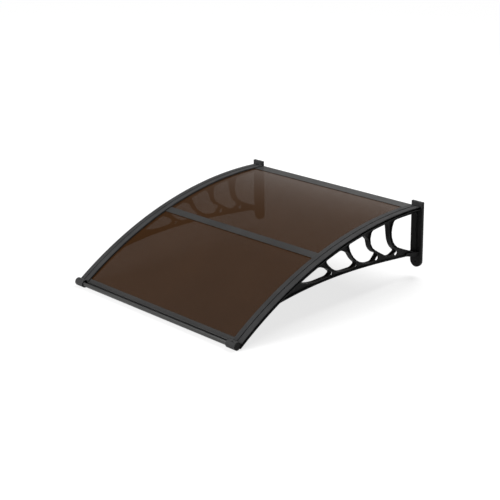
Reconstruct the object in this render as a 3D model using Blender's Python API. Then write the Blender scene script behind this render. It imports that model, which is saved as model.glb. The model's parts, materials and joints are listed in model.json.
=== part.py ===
"""Window awning: a curved smoked roof in a frame of bars on two moulded wall brackets.

X runs along the wall, +Z is up and the roof reaches out along -Y. The origin is the middle of the
rear bar's flange on the wall, which is the plane Y = 0. The pieces are placed under an empty from
which heights count up from the end caps' lowest line. A place on the roof is given as an angle from
the arc's crest and an offset from the cover strips' top surface, positive away from the arc's
centre. All sizes are in metres.
"""

import math
from collections import namedtuple

import bmesh
import bpy
from mathutils import Vector

# Layout
BRACKET_SPACING = 0.900
GUTTER_REACH = 1.0092
ROOF_RADIUS = 1.615
CREST_REACH = 0.0897
MIDDLE_BAR_REACH = 0.563
CLEARANCE = 0.0003

# Layers of the roof, from the top
STRIP_THICKNESS = 0.0040
GASKET_THICKNESS = 0.0016
SHEET_THICKNESS = 0.0040
SHELF_THICKNESS = 0.0035

# Cover strips and what lies under them
STRIP_WIDTH = 0.048
STRIP_EDGE = 0.0008
STRIP_END_GAP = 0.0162
GROOVE_WIDTH = 0.006
GROOVE_DEPTH = 0.0025
GASKET_WIDTH = 0.012
GASKET_SHOWING = 0.001
SHEET_SIDE_GAP = 0.0008
SHEET_END_GAP = 0.001

# Bracket rail and lattice
WEB_INSET = 0.005
WEB_THICKNESS = 0.005
RIB_WIDTH = 0.005
SHELF_INSET = 0.0005
RAIL_NECK = 0.0129
RAIL_END_GAP = 0.002
MEMBER_WIDTH = 0.020
RIM = 0.0035
LATTICE_REACH = 0.830
LATTICE_DEPTH = 0.188
LATTICE_CURVE = 1.515
FLOOR_BAND = 0.0124
FIRST_OPENING_GAP = 0.006
LAST_OPENING_REACH = 0.684
LAST_OPENING_SLANT = 0.065
CORNER = 0.010
LAST_OPENING_ROUND = 0.039
CORNER_LIMIT = 0.45
RING_TOP_DEG = 88.0
RING_LOW_DEG = -80.0
RING_LEAST_DEG = 4.0
FOOT_SLOPE = 0.6
RAIL_GUSSET_THICKNESS = 0.003
RAIL_GUSSET_REACH = 0.034
RAIL_GUSSET_DROP = 0.010
FOOT_GUSSET_REACH = 0.062
FOOT_GUSSET_DROP = 0.012
FOOT_GUSSET_WIDTH = 0.017
FOOT_GUSSET_BACK_SHARE = 0.5
FOOT_GUSSET_LOW_SHARE = 0.25
FLANGE_STEP = 0.00002
RIM_TUCK = 0.0007

# Rings of the lattice, from the wall outwards: each centre's distance from the wall and its depth
# under the rail, the radius inside the ring and its wall, the angle at which its inner side runs
# straight on to the floor, the rounding there and how far its foot spreads, the run and the depth of
# its flare at the rail, and the hole at its foot: distance from the wall, lift over the floor, radius
FIRST_RING_REACH = 0.0883
FIRST_RING_DROP = 0.0494
FIRST_RING_RADIUS = 0.0804
FIRST_RING_WALL = 0.0149
FIRST_RING_TANGENT_DEG = -66.0
FIRST_RING_ROUND = 0.051
FIRST_RING_FOOT = 0.0366
FIRST_RING_FLARE_RUN = 0.0203
FIRST_RING_FLARE_DROP = 0.0638
FIRST_RING_HOLE_REACH = 0.1316
FIRST_RING_HOLE_LIFT = 0.0090
FIRST_RING_HOLE_RADIUS = 0.0100
SECOND_RING_REACH = 0.2372
SECOND_RING_DROP = 0.0382
SECOND_RING_RADIUS = 0.0576
SECOND_RING_WALL = 0.0104
SECOND_RING_TANGENT_DEG = -58.0
SECOND_RING_ROUND = 0.0335
SECOND_RING_FOOT = 0.0287
SECOND_RING_FLARE_RUN = 0.0351
SECOND_RING_FLARE_DROP = 0.0305
SECOND_RING_HOLE_REACH = 0.2470
SECOND_RING_HOLE_LIFT = 0.0079
SECOND_RING_HOLE_RADIUS = 0.0100
THIRD_RING_REACH = 0.2968
THIRD_RING_DROP = -0.0043
THIRD_RING_RADIUS = 0.1245
THIRD_RING_WALL = 0.0098
THIRD_RING_TANGENT_DEG = -62.0
THIRD_RING_ROUND = 0.0417
THIRD_RING_FOOT = 0.0223
THIRD_RING_FLARE_RUN = 0.0356
THIRD_RING_FLARE_DROP = 0.0335
THIRD_RING_HOLE_REACH = 0.3682
THIRD_RING_HOLE_LIFT = 0.0044
THIRD_RING_HOLE_RADIUS = 0.0075
FOURTH_RING_REACH = 0.4442
FOURTH_RING_DROP = -0.0298
FOURTH_RING_RADIUS = 0.1152
FOURTH_RING_WALL = 0.0133
FOURTH_RING_TANGENT_DEG = -56.0
FOURTH_RING_ROUND = 0.0310
FOURTH_RING_FOOT = 0.0197
FOURTH_RING_FLARE_RUN = 0.0254
FOURTH_RING_FLARE_DROP = 0.0319
FOURTH_RING_HOLE_REACH = 0.5067
FOURTH_RING_HOLE_LIFT = 0.0037
FOURTH_RING_HOLE_RADIUS = 0.0075

Ring = namedtuple(
    "Ring",
    "reach drop radius wall tangent_deg floor_round foot "
    "flare_run flare_drop hole_reach hole_lift hole_radius",
)
RINGS = (
    Ring(
        reach=FIRST_RING_REACH,
        drop=FIRST_RING_DROP,
        radius=FIRST_RING_RADIUS,
        wall=FIRST_RING_WALL,
        tangent_deg=FIRST_RING_TANGENT_DEG,
        floor_round=FIRST_RING_ROUND,
        foot=FIRST_RING_FOOT,
        flare_run=FIRST_RING_FLARE_RUN,
        flare_drop=FIRST_RING_FLARE_DROP,
        hole_reach=FIRST_RING_HOLE_REACH,
        hole_lift=FIRST_RING_HOLE_LIFT,
        hole_radius=FIRST_RING_HOLE_RADIUS,
    ),
    Ring(
        reach=SECOND_RING_REACH,
        drop=SECOND_RING_DROP,
        radius=SECOND_RING_RADIUS,
        wall=SECOND_RING_WALL,
        tangent_deg=SECOND_RING_TANGENT_DEG,
        floor_round=SECOND_RING_ROUND,
        foot=SECOND_RING_FOOT,
        flare_run=SECOND_RING_FLARE_RUN,
        flare_drop=SECOND_RING_FLARE_DROP,
        hole_reach=SECOND_RING_HOLE_REACH,
        hole_lift=SECOND_RING_HOLE_LIFT,
        hole_radius=SECOND_RING_HOLE_RADIUS,
    ),
    Ring(
        reach=THIRD_RING_REACH,
        drop=THIRD_RING_DROP,
        radius=THIRD_RING_RADIUS,
        wall=THIRD_RING_WALL,
        tangent_deg=THIRD_RING_TANGENT_DEG,
        floor_round=THIRD_RING_ROUND,
        foot=THIRD_RING_FOOT,
        flare_run=THIRD_RING_FLARE_RUN,
        flare_drop=THIRD_RING_FLARE_DROP,
        hole_reach=THIRD_RING_HOLE_REACH,
        hole_lift=THIRD_RING_HOLE_LIFT,
        hole_radius=THIRD_RING_HOLE_RADIUS,
    ),
    Ring(
        reach=FOURTH_RING_REACH,
        drop=FOURTH_RING_DROP,
        radius=FOURTH_RING_RADIUS,
        wall=FOURTH_RING_WALL,
        tangent_deg=FOURTH_RING_TANGENT_DEG,
        floor_round=FOURTH_RING_ROUND,
        foot=FOURTH_RING_FOOT,
        flare_run=FOURTH_RING_FLARE_RUN,
        flare_drop=FOURTH_RING_FLARE_DROP,
        hole_reach=FOURTH_RING_HOLE_REACH,
        hole_lift=FOURTH_RING_HOLE_LIFT,
        hole_radius=FOURTH_RING_HOLE_RADIUS,
    ),
)

# Wall plate
PLATE_WIDTH = 0.055
PLATE_HEIGHT = 0.2738
PLATE_THICKNESS = 0.0127
PLATE_RISE = 0.0147
PLATE_EDGE = 0.0015
PLATE_HOLE_RADIUS = 0.0033
TOP_HOLE_DROP = 0.072
TOP_HOLE_SPACING = 0.0175
BOTTOM_HOLE_DROP = 0.251

# Bars of the frame
BAR_WALL = 0.0015
MIDDLE_BAR_WIDTH = 0.0335
REAR_BAR_LIP = 0.0577
REAR_BAR_WEB_REACH = 0.0247
REAR_BAR_WALL_FLANGE = 0.024
REAR_BAR_FLANGE = 0.030
FRONT_BAR_BACK = 0.0323
FRONT_BAR_WEB = 0.0165
GUTTER_RISE = 0.0031
GUTTER_RADIUS = 0.0113
GUTTER_WALL = 0.0015
GUTTER_FLANGE_END = 0.0006
GUTTER_END_GAP = 0.008
GUTTER_START_DEG = -129.2
GUTTER_MEET_DEG = -139.1
GUTTER_BACK_DEG = -195.0
GUTTER_LIP_DEG = 86.0

# End caps
CAP_RADIUS = 0.0158
CAP_LENGTH = 0.0462
CAP_OVERLAP = 0.0267
CAP_END = 0.0045
CAP_EDGE = 0.0012
CAP_EDGE_CUT = 0.00036
CAP_MOUTH_EDGE = 0.0004

# Screws
SCREWS_PER_STRIP = 5
SCREW_HEAD_RADIUS = 0.0026
SCREW_HEAD_HEIGHT = 0.0014
SCREW_RADIUS = 0.0013
SCREW_LENGTH = 0.012
SCREW_END_SPACE = 0.004
SCREW_TIP_SHARE = 0.5
SCREW_RIM_SHARE = 0.5
SCREW_CROWN_SHARE = 0.7
SCREW_RECESS_RADIUS = 0.0012
SCREW_RECESS_DEPTH = 0.0007
STRIP_SCREW_MARGIN = 0.030
CAP_SCREW_DEG = 105.0
CAP_SCREW_SINK = 0.0018
CAP_SCREW_TIP = 0.0022
CAP_SCREW_HEAD_RADIUS = 0.0030

# Fineness of the meshes
ARC_STEP = 0.046
OUTLINE_STEP = 0.022
CORNER_STEPS = 5
GUSSET_STEPS = 6
HALVINGS = 40
ROUND_SIDES = 32
RING_SIDES = 128
HOLE_SIDES = 14
SCREW_SIDES = 12
SMOOTH_ANGLE = math.radians(32)
CUT_OVERRUN = 0.004

# Offsets from the strips' top surface that follow from the layers
STRIP_UNDER = -STRIP_THICKNESS
GASKET_TOP = STRIP_UNDER - CLEARANCE
GASKET_UNDER = GASKET_TOP - GASKET_THICKNESS
SHEET_TOP = GASKET_UNDER - CLEARANCE
SHEET_UNDER = SHEET_TOP - SHEET_THICKNESS
SHELF_TOP = SHEET_UNDER - CLEARANCE
SHELF_UNDER = SHELF_TOP - SHELF_THICKNESS
RAIL_UNDER = SHELF_UNDER - RAIL_NECK
BAR_UNDER = SHELF_TOP - BAR_WALL

# Places that follow from the layout
WEB_X = BRACKET_SPACING / 2 - WEB_INSET
STRIP_HALF = STRIP_WIDTH / 2
SHELF_INNER = STRIP_HALF + CLEARANCE
SHEET_HALF = WEB_X - RIB_WIDTH / 2 - SHEET_SIDE_GAP
COPE_X = WEB_X - SHELF_INNER - CLEARANCE
GUTTER_AXIS_RADIUS = ROOF_RADIUS + GUTTER_RISE
GUTTER_ANGLE = math.asin((GUTTER_REACH - CREST_REACH) / GUTTER_AXIS_RADIUS)
ARC_CENTRE_Z = CAP_RADIUS - GUTTER_AXIS_RADIUS * math.cos(GUTTER_ANGLE)
ARC_CENTRE = Vector((0.0, -CREST_REACH, ARC_CENTRE_Z))
PLATE_TOP = ARC_CENTRE_Z + ROOF_RADIUS + PLATE_RISE
CAP_START = WEB_X - CAP_OVERLAP
CAP_BORE = GUTTER_RADIUS + CLEARANCE
STRIP_SCREW_LENGTH = SCREW_LENGTH - SCREW_END_SPACE + STRIP_THICKNESS - GROOVE_DEPTH


def angle_at(reach, offset=0.0):
    """Angle from the crest of the roof point at a distance from the wall."""
    return math.asin((reach - CREST_REACH) / (ROOF_RADIUS + offset))


def height_at(reach, offset):
    """Height of the roof's curve with an offset, at a distance from the wall."""
    return ARC_CENTRE_Z + (ROOF_RADIUS + offset) * math.cos(angle_at(reach, offset))


def roof_point(angle, offset):
    """Point (reach, height) of the roof's curve with an offset, at an angle."""
    radius = ROOF_RADIUS + offset
    return CREST_REACH + radius * math.sin(angle), ARC_CENTRE_Z + radius * math.cos(angle)


def steps_between(start, end, step):
    """Evenly spaced values from start to end, no more than a step apart."""
    count = max(1, math.ceil(abs(end - start) / step - 1e-6))
    return [start + (end - start) * i / count for i in range(count + 1)]


def roof_angles(start, end):
    """Angles along the roof at which a swept piece gets a section."""
    return steps_between(start, end, ARC_STEP / ROOF_RADIUS)


def roof_curve(start_reach, end_reach, offset):
    """Points (reach, height) along the roof's curve with an offset."""
    angles = roof_angles(angle_at(start_reach, offset), angle_at(end_reach, offset))
    return [roof_point(angle, offset) for angle in angles]


def circle_point(centre, radius, degrees):
    """Point of a circle in a plane."""
    angle = math.radians(degrees)
    return centre[0] + radius * math.cos(angle), centre[1] + radius * math.sin(angle)


def circle_arc(centre, radius, start, end, sides):
    """Points of an arc, with as many sides as the full circle would have."""
    return [circle_point(centre, radius, a) for a in steps_between(start, end, 360 / sides)]


def material(name, colour, roughness, metallic=0.0, alpha=1.0):
    """Principled material, made once for each name."""
    found = bpy.data.materials.get(name)
    if found:
        return found
    made = bpy.data.materials.new(name)
    made.use_nodes = True
    shader = made.node_tree.nodes["Principled BSDF"]
    shader.inputs["Base Color"].default_value = (*colour, 1.0)
    shader.inputs["Roughness"].default_value = roughness
    shader.inputs["Metallic"].default_value = metallic
    shader.inputs["Alpha"].default_value = alpha
    return made


def black_plastic():
    """Satin black moulded plastic of the brackets, strips and caps."""
    return material("black_plastic", (0.012, 0.012, 0.013), 0.42)


def grey_aluminium():
    """Dark grey coated aluminium of the bars."""
    return material("grey_aluminium", (0.055, 0.055, 0.056), 0.38, metallic=0.4)


def smoked_sheet():
    """Smoked brown roof sheet."""
    return material("smoked_sheet", (0.060, 0.036, 0.026), 0.08, alpha=0.85)


def black_rubber():
    """Black sealing rubber."""
    return material("black_rubber", (0.010, 0.010, 0.010), 0.80)


def dark_steel():
    """Blackened steel of the screws."""
    return material("dark_steel", (0.030, 0.030, 0.032), 0.35, metallic=0.9)


def new_object(name, mesh_data, finish=None):
    """Object from a filled bmesh, its faces turned outwards."""
    bmesh.ops.recalc_face_normals(mesh_data, faces=mesh_data.faces)
    mesh = bpy.data.meshes.new(name)
    mesh_data.to_mesh(mesh)
    mesh_data.free()
    made = bpy.data.objects.new(name, mesh)
    bpy.context.scene.collection.objects.link(made)
    if finish:
        mesh.materials.append(finish)
        mesh.shade_smooth()
        mesh.set_sharp_from_angle(angle=SMOOTH_ANGLE)
    return made


def place(piece, parent, location=(0.0, 0.0, 0.0), rotation=(0.0, 0.0, 0.0)):
    """Puts a piece in its place under the awning's empty."""
    piece.parent = parent
    piece.location = location
    piece.rotation_euler = rotation
    return piece


def loft(name, sections, finish=None):
    """Closed solid through a row of equal sections, each a list of 3-D points."""
    solid = bmesh.new()
    rows = [[solid.verts.new(point) for point in section] for section in sections]
    count = len(rows[0])
    for row, following in zip(rows, rows[1:]):
        for i in range(count):
            j = (i + 1) % count
            solid.faces.new((row[i], row[j], following[j], following[i]))
    solid.faces.new(rows[0])
    solid.faces.new(rows[-1])
    return new_object(name, solid, finish)


def prism(name, outline, low, high, finish=None):
    """Solid with an outline of (reach, height) points, from low to high along X."""
    sections = [[(x, -reach, height) for reach, height in outline] for x in (low, high)]
    return loft(name, sections, finish)


def swept(name, section, angles, finish=None):
    """Solid with a section of (x, offset) points swept along the roof, about the arc's centre."""
    spots = [(x, ROOF_RADIUS + offset) for x, offset in section]
    rows = []
    for angle in angles:
        rows.append([(x, -r * math.sin(angle), r * math.cos(angle)) for x, r in spots])
    return loft(name, rows, finish)


def turned(name, profile, sides, finish=None):
    """Solid turned about Z from (radius, height) points that start and end on the axis."""
    solid = bmesh.new()
    low = solid.verts.new((0.0, 0.0, profile[0][1]))
    high = solid.verts.new((0.0, 0.0, profile[-1][1]))
    rings = []
    for radius, height in profile[1:-1]:
        points = [circle_point((0.0, 0.0), radius, 360 * i / sides) for i in range(sides)]
        rings.append([solid.verts.new((x, y, height)) for x, y in points])
    for i in range(sides):
        j = (i + 1) % sides
        solid.faces.new((low, rings[0][j], rings[0][i]))
        solid.faces.new((high, rings[-1][i], rings[-1][j]))
        for ring, following in zip(rings, rings[1:]):
            solid.faces.new((ring[i], ring[j], following[j], following[i]))
    return new_object(name, solid, finish)


def rod(name, start, direction, radius, length, sides=HOLE_SIDES):
    """Plain cylinder from a start point along a direction, for cutting a hole."""
    made = turned(name, [(0, 0), (radius, 0), (radius, length), (0, length)], sides)
    made.rotation_mode = "QUATERNION"
    made.location = start
    made.rotation_quaternion = Vector(direction).to_track_quat("Z", "Y")
    return made


def combine(piece, operation, tools):
    """Joins solids to a piece or cuts them from it, all of them in the piece's own frame."""
    group = bpy.data.collections.new(f"{piece.name} {operation.lower()}")
    for tool in tools:
        tool.parent = piece
        tool.hide_render = True
        tool.display_type = "WIRE"
        for used in list(tool.users_collection):
            used.objects.unlink(tool)
        group.objects.link(tool)
    bpy.context.scene.collection.children.link(group)
    step = piece.modifiers.new(operation.lower(), "BOOLEAN")
    step.operation = operation
    step.solver = "EXACT"
    step.operand_type = "COLLECTION"
    step.collection = group


def crossing(curve, low, high, line):
    """Parameter at which a curve's point meets a line of height over reach, found by halving."""
    rises = curve(high)[1] > line(curve(high)[0])
    for _ in range(HALVINGS):
        middle = (low + high) / 2
        point = curve(middle)
        if (point[1] > line(point[0])) == rises:
            high = middle
        else:
            low = middle
    return (low + high) / 2


def rail_underside(reach):
    """Height of the rail's underside over the openings."""
    return height_at(reach, RAIL_UNDER)


def lower_edge(reach):
    """Height of the lattice's lower edge, which closes on the rail at the lattice's reach."""
    share = (reach - PLATE_THICKNESS) / (LATTICE_REACH - PLATE_THICKNESS)
    depth = LATTICE_DEPTH * (1 - max(share, 0.0) ** LATTICE_CURVE)
    return height_at(reach, SHELF_UNDER) - depth


def floor_line(reach):
    """Height of the openings' floor."""
    return lower_edge(reach) + FLOOR_BAND


def lengths(points):
    """Running length at each point of a line of points."""
    total = [0.0]
    for start, end in zip(points, points[1:]):
        total.append(total[-1] + math.dist(start, end))
    return total


def point_along(points, distance):
    """Point at a distance along a line of points."""
    total = lengths(points)
    for i, reached in enumerate(total[1:]):
        if distance <= reached:
            share = (distance - total[i]) / (reached - total[i])
            start, end = points[i], points[i + 1]
            return start[0] + (end[0] - start[0]) * share, start[1] + (end[1] - start[1]) * share
    return points[-1]


def rounded_outline(sides, trims):
    """Closed outline through four or more sides, each corner rounded over its trim length."""
    outline = []
    kept = []
    for i, side in enumerate(sides):
        total = lengths(side)[-1]
        start = min(trims[i - 1], CORNER_LIMIT * total)
        end = total - min(trims[i], CORNER_LIMIT * total)
        kept.append([point_along(side, d) for d in steps_between(start, end, OUTLINE_STEP)])
    for i, side in enumerate(sides):
        outline += kept[i]
        start, corner, end = kept[i][-1], side[-1], kept[(i + 1) % len(sides)][0]
        for k in range(1, CORNER_STEPS + 1):
            t = k / (CORNER_STEPS + 1)
            pulls = (((1 - t) ** 2, start), (2 * t * (1 - t), corner), (t ** 2, end))
            outline.append(tuple(sum(pull * point[axis] for pull, point in pulls) for axis in (0, 1)))
    return outline


def grown(outline, margin):
    """Outline moved out by a margin at every corner."""
    area = sum(a[0] * b[1] - b[0] * a[1] for a, b in zip(outline, outline[1:] + outline[:1]))
    turn = 1 if area > 0 else -1
    moved = []
    for i, point in enumerate(outline):
        before, after = outline[i - 1], outline[(i + 1) % len(outline)]
        normals = []
        for start, end in ((before, point), (point, after)):
            edge = Vector((end[0] - start[0], end[1] - start[1])).normalized()
            normals.append(Vector((edge.y, -edge.x)) * turn)
        middle = (normals[0] + normals[1]).normalized()
        moved.append(tuple(Vector(point) + middle * margin / max(middle.dot(normals[0]), 0.5)))
    return moved


def ring_centre(ring):
    """Centre (reach, height) of a ring."""
    return ring.reach, rail_underside(ring.reach) - ring.drop


def outward_side(ring):
    """Outer side of an opening: its ring's inner circle, then straight on down to the floor."""
    centre = ring_centre(ring)

    def on_ring(degrees):
        return circle_point(centre, ring.radius, degrees)

    top = crossing(on_ring, ring.tangent_deg, RING_TOP_DEG, rail_underside)
    side = circle_arc(centre, ring.radius, top, ring.tangent_deg, RING_SIDES)
    last = side[-1]
    slope = math.radians(ring.tangent_deg - 90)

    def on_tangent(distance):
        return last[0] + distance * math.cos(slope), last[1] + distance * math.sin(slope)

    return side + [on_tangent(crossing(on_tangent, 0.0, LATTICE_DEPTH, floor_line))]


def inward_sides(ring):
    """Inner sides of an opening: the foot's slope, the ring's outer circle and the flare at the rail."""
    centre = ring_centre(ring)
    radius = ring.radius + ring.wall

    def on_ring(degrees):
        return circle_point(centre, radius, degrees)

    def over_foot(reach):
        return floor_line(reach) + ring.foot * FOOT_SLOPE

    def under_flare(reach):
        return rail_underside(reach) - ring.flare_drop

    crest = crossing(on_ring, RING_LOW_DEG, RING_TOP_DEG, rail_underside)
    low = crossing(on_ring, RING_LOW_DEG, crest, over_foot)
    high = max(crossing(on_ring, low, crest, under_flare), low + RING_LEAST_DEG)
    arc = circle_arc(centre, radius, low, high, RING_SIDES)
    floor_reach = arc[0][0] + ring.foot
    rail_reach = on_ring(crest)[0] + ring.flare_run
    foot = [(floor_reach, floor_line(floor_reach)), arc[0]]
    flare = [arc[-1], (rail_reach, rail_underside(rail_reach))]
    return [foot, arc, flare]


def opening_sides(outer, inner):
    """Sides of an opening, in order: the rail, its outer side, the floor and its inner sides.

    Where the foot leaves no room for a floor, it starts from the outer side's end.
    """
    top = roof_curve(inner[-1][-1][0], outer[0][0], RAIL_UNDER)
    foot = inner[0]
    if outer[-1][0] - foot[0][0] < CORNER:
        return [top, outer, [outer[-1], foot[-1]]] + inner[1:]
    floor = [(r, floor_line(r)) for r in steps_between(outer[-1][0], foot[0][0], OUTLINE_STEP)]
    return [top, outer, floor] + inner


def opening_outlines():
    """Outlines of the lattice's openings, from the wall outwards."""
    first = PLATE_THICKNESS + FIRST_OPENING_GAP
    inward = [[[(first, floor_line(first)), (first, rail_underside(first))]]]
    inward += [inward_sides(ring) for ring in RINGS]
    outward = [outward_side(ring) for ring in RINGS]
    low_reach = LAST_OPENING_REACH - LAST_OPENING_SLANT
    tip = LAST_OPENING_REACH, rail_underside(LAST_OPENING_REACH)
    outward.append([tip, (low_reach, floor_line(low_reach))])
    rounds = [ring.floor_round for ring in RINGS] + [LAST_OPENING_ROUND]
    outlines = []
    for inner, outer, floor_round in zip(inward, outward, rounds):
        sides = opening_sides(outer, inner)
        trims = [CORNER, floor_round] + [CORNER] * (len(sides) - 2)
        outlines.append(rounded_outline(sides, trims))
    return outlines


def rail_section(side):
    """Section of a bracket's top rail: shelf and screw rib, with a slot under the strip on each side."""
    rib = RIB_WIDTH / 2
    outer = STRIP_HALF - SHELF_INSET
    section = [
        (-SHELF_INNER, SHELF_TOP),
        (-rib, SHELF_TOP),
        (-rib, GASKET_TOP),
        (rib, GASKET_TOP),
        (rib, SHELF_TOP),
        (outer, SHELF_TOP),
        (outer, SHELF_UNDER),
        (-SHELF_INNER, SHELF_UNDER),
    ]
    return [(side * u, offset) for u, offset in section]


def lattice_web():
    """Outline of the web between the rail and the lattice's lower edge."""
    reaches = steps_between(PLATE_THICKNESS / 2, LATTICE_REACH, ARC_STEP)
    middle_of_shelf = (SHELF_TOP + SHELF_UNDER) / 2
    top = [(r, height_at(r, middle_of_shelf)) for r in reaches]
    bottom = [(r, lower_edge(r)) for r in reversed(reaches)]
    return top + bottom


def lower_flange():
    """Outline of the flange along the lattice's lower edge, up to the rail's own flange."""
    reaches = steps_between(PLATE_THICKNESS / 2, LATTICE_REACH - RAIL_NECK, ARC_STEP)
    bottom = [(r, lower_edge(r)) for r in reaches]
    top = [(r, min(lower_edge(r) + RIM, height_at(r, SHELF_UNDER))) for r in reversed(reaches)]
    return bottom + top


def rail_flange():
    """Outline of the flange over the openings, under the rail and on to the lattice's tip."""
    end = LATTICE_REACH
    while height_at(end, SHELF_UNDER - RIM) < lower_edge(end):
        end -= RIM
    top = roof_curve(PLATE_THICKNESS / 2, end, RAIL_UNDER + RIM)
    bottom = roof_curve(end, PLATE_THICKNESS / 2, RAIL_UNDER + RIM_TUCK)
    return top + bottom


def plate_points(inset):
    """Outline (x, height) of the wall plate, square at the top and round at the bottom."""
    half = PLATE_WIDTH / 2 - inset
    centre = 0.0, PLATE_TOP - PLATE_HEIGHT + PLATE_WIDTH / 2
    low = circle_arc(centre, half, 180.0, 360.0, ROUND_SIDES)
    return [(half, PLATE_TOP - inset), (-half, PLATE_TOP - inset)] + low


def wall_plate(name, side):
    """Wall plate in the bracket's frame, its front edges bevelled."""
    rows = []
    for depth, inset in ((0.0, 0.0), (PLATE_THICKNESS - PLATE_EDGE, 0.0), (PLATE_THICKNESS, PLATE_EDGE)):
        rows.append([(x + side * WEB_INSET, -depth, z) for x, z in plate_points(inset)])
    return loft(name, rows)


def rail_gusset(name, side):
    """Curved gusset between the plate and the rail's outer edge."""
    outer = STRIP_HALF - SHELF_INSET
    start, end = PLATE_THICKNESS / 2, PLATE_THICKNESS + RAIL_GUSSET_REACH
    reaches = steps_between(start, end, (end - start) / GUSSET_STEPS)
    top = [(r, height_at(r, (SHELF_TOP + SHELF_UNDER) / 2)) for r in reaches]
    low = []
    for reach in reversed(reaches):
        share = (end - reach) / (end - start)
        low.append((reach, height_at(reach, SHELF_UNDER + CLEARANCE) - RAIL_GUSSET_DROP * share ** 2))
    limits = sorted((side * (outer - RAIL_GUSSET_THICKNESS), side * (outer - FLANGE_STEP)))
    return prism(name, top + low, *limits)


def foot_gusset(name, side):
    """Flared end of the lower flange on the plate."""
    start, end = PLATE_THICKNESS / 2, PLATE_THICKNESS + FOOT_GUSSET_REACH
    half = MEMBER_WIDTH / 2
    rows = []
    for reach in steps_between(start, end, (end - start) / GUSSET_STEPS):
        share = (end - reach) / (end - start)
        wide = FOOT_GUSSET_WIDTH * share ** 2
        back, under = FOOT_GUSSET_BACK_SHARE * wide, FOOT_GUSSET_LOW_SHARE * wide
        low = lower_edge(reach) - FOOT_GUSSET_DROP * share
        high = floor_line(reach) - CLEARANCE
        outline = [
            (-half - under, low),
            (half + under, low),
            (half + wide, high),
            (-half - back, high),
        ]
        rows.append([(side * u, -reach, z) for u, z in outline])
    return loft(name, rows)


def screw_angles():
    """Angles along the roof of a strip's screws."""
    start = angle_at(PLATE_THICKNESS) + STRIP_SCREW_MARGIN / ROOF_RADIUS
    end = GUTTER_ANGLE - (STRIP_END_GAP + STRIP_SCREW_MARGIN) / ROOF_RADIUS
    return [start + (end - start) * i / (SCREWS_PER_STRIP - 1) for i in range(SCREWS_PER_STRIP)]


def gutter_point(ahead, rise):
    """Point (reach, height) given ahead of the gutter's axis along the slope and above it."""
    reach, height = roof_point(GUTTER_ANGLE, GUTTER_RISE)
    sine, cosine = math.sin(GUTTER_ANGLE), math.cos(GUTTER_ANGLE)
    return reach + ahead * cosine + rise * sine, height - ahead * sine + rise * cosine


def down_at(angle):
    """Direction straight down through the roof at an angle."""
    return 0.0, math.sin(angle), -math.cos(angle)


def cap_seat(name, side):
    """Cutter of the round seat in which a bracket's rail carries the end cap."""
    reach, height = gutter_point(0.0, 0.0)
    start = -SHELF_INNER - CUT_OVERRUN
    end = STRIP_HALF + CUT_OVERRUN
    place_on_axis = side * start, -reach, height
    return rod(name, place_on_axis, (side, 0, 0), CAP_RADIUS + CLEARANCE, end - start, ROUND_SIDES)


def wall_holes(name, side):
    """Cutters of a wall plate's screw holes: two near the top and one at the foot."""
    half_spacing = TOP_HOLE_SPACING / 2
    places = [(-half_spacing, TOP_HOLE_DROP), (half_spacing, TOP_HOLE_DROP), (0.0, BOTTOM_HOLE_DROP)]
    length = PLATE_THICKNESS + 2 * CUT_OVERRUN
    holes = []
    for i, (aside, drop) in enumerate(places):
        start = aside + side * WEB_INSET, CUT_OVERRUN, PLATE_TOP - drop
        holes.append(rod(f"{name} {i}", start, (0, -1, 0), PLATE_HOLE_RADIUS, length))
    return holes


def bracket(name, side, parent):
    """One moulded bracket: wall plate, top rail, ring lattice and lower rail, all one piece."""
    half_web = WEB_THICKNESS / 2
    half_member = MEMBER_WIDTH / 2
    rail_start = angle_at(PLATE_THICKNESS / 2)
    rail_end = GUTTER_ANGLE - RAIL_END_GAP / ROOF_RADIUS
    outlines = opening_outlines()

    body = prism(name, lattice_web(), -half_web, half_web, black_plastic())
    rail = swept(f"{name} rail", rail_section(side), roof_angles(rail_start, rail_end))
    rail.location = ARC_CENTRE
    joins = [rail, wall_plate(f"{name} plate", side)]
    half_upper = half_member - FLANGE_STEP
    half_lower = half_member - 2 * FLANGE_STEP
    joins.append(prism(f"{name} flange", rail_flange(), -half_upper, half_upper))
    joins.append(prism(f"{name} lower", lower_flange(), -half_lower, half_lower))
    for i, outline in enumerate(outlines):
        joins.append(prism(f"{name} rim {i}", grown(outline, RIM), -half_member, half_member))
    joins += [rail_gusset(f"{name} rail gusset", side), foot_gusset(f"{name} foot gusset", side)]
    combine(body, "UNION", joins)

    half_cut = half_member + FOOT_GUSSET_WIDTH + CUT_OVERRUN
    cuts = [
        prism(f"{name} opening {i}", outline, -half_cut, half_cut)
        for i, outline in enumerate(outlines)
    ]
    cuts.append(cap_seat(f"{name} cap seat", side))
    cuts += wall_holes(f"{name} wall hole", side)
    for i, angle in enumerate(screw_angles()):
        reach, height = roof_point(angle, STRIP_UNDER)
        start = 0, -reach, height
        radius = SCREW_RADIUS + CLEARANCE
        cuts.append(rod(f"{name} pilot {i}", start, down_at(angle), radius, SCREW_LENGTH, SCREW_SIDES))
    for i, ring in enumerate(RINGS):
        start = side * -half_cut, -ring.hole_reach, floor_line(ring.hole_reach) + ring.hole_lift
        cuts.append(rod(f"{name} foot hole {i}", start, (side, 0, 0), ring.hole_radius, 2 * half_cut))
    combine(body, "DIFFERENCE", cuts)
    return place(body, parent, (side * WEB_X, 0.0, 0.0))


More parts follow.
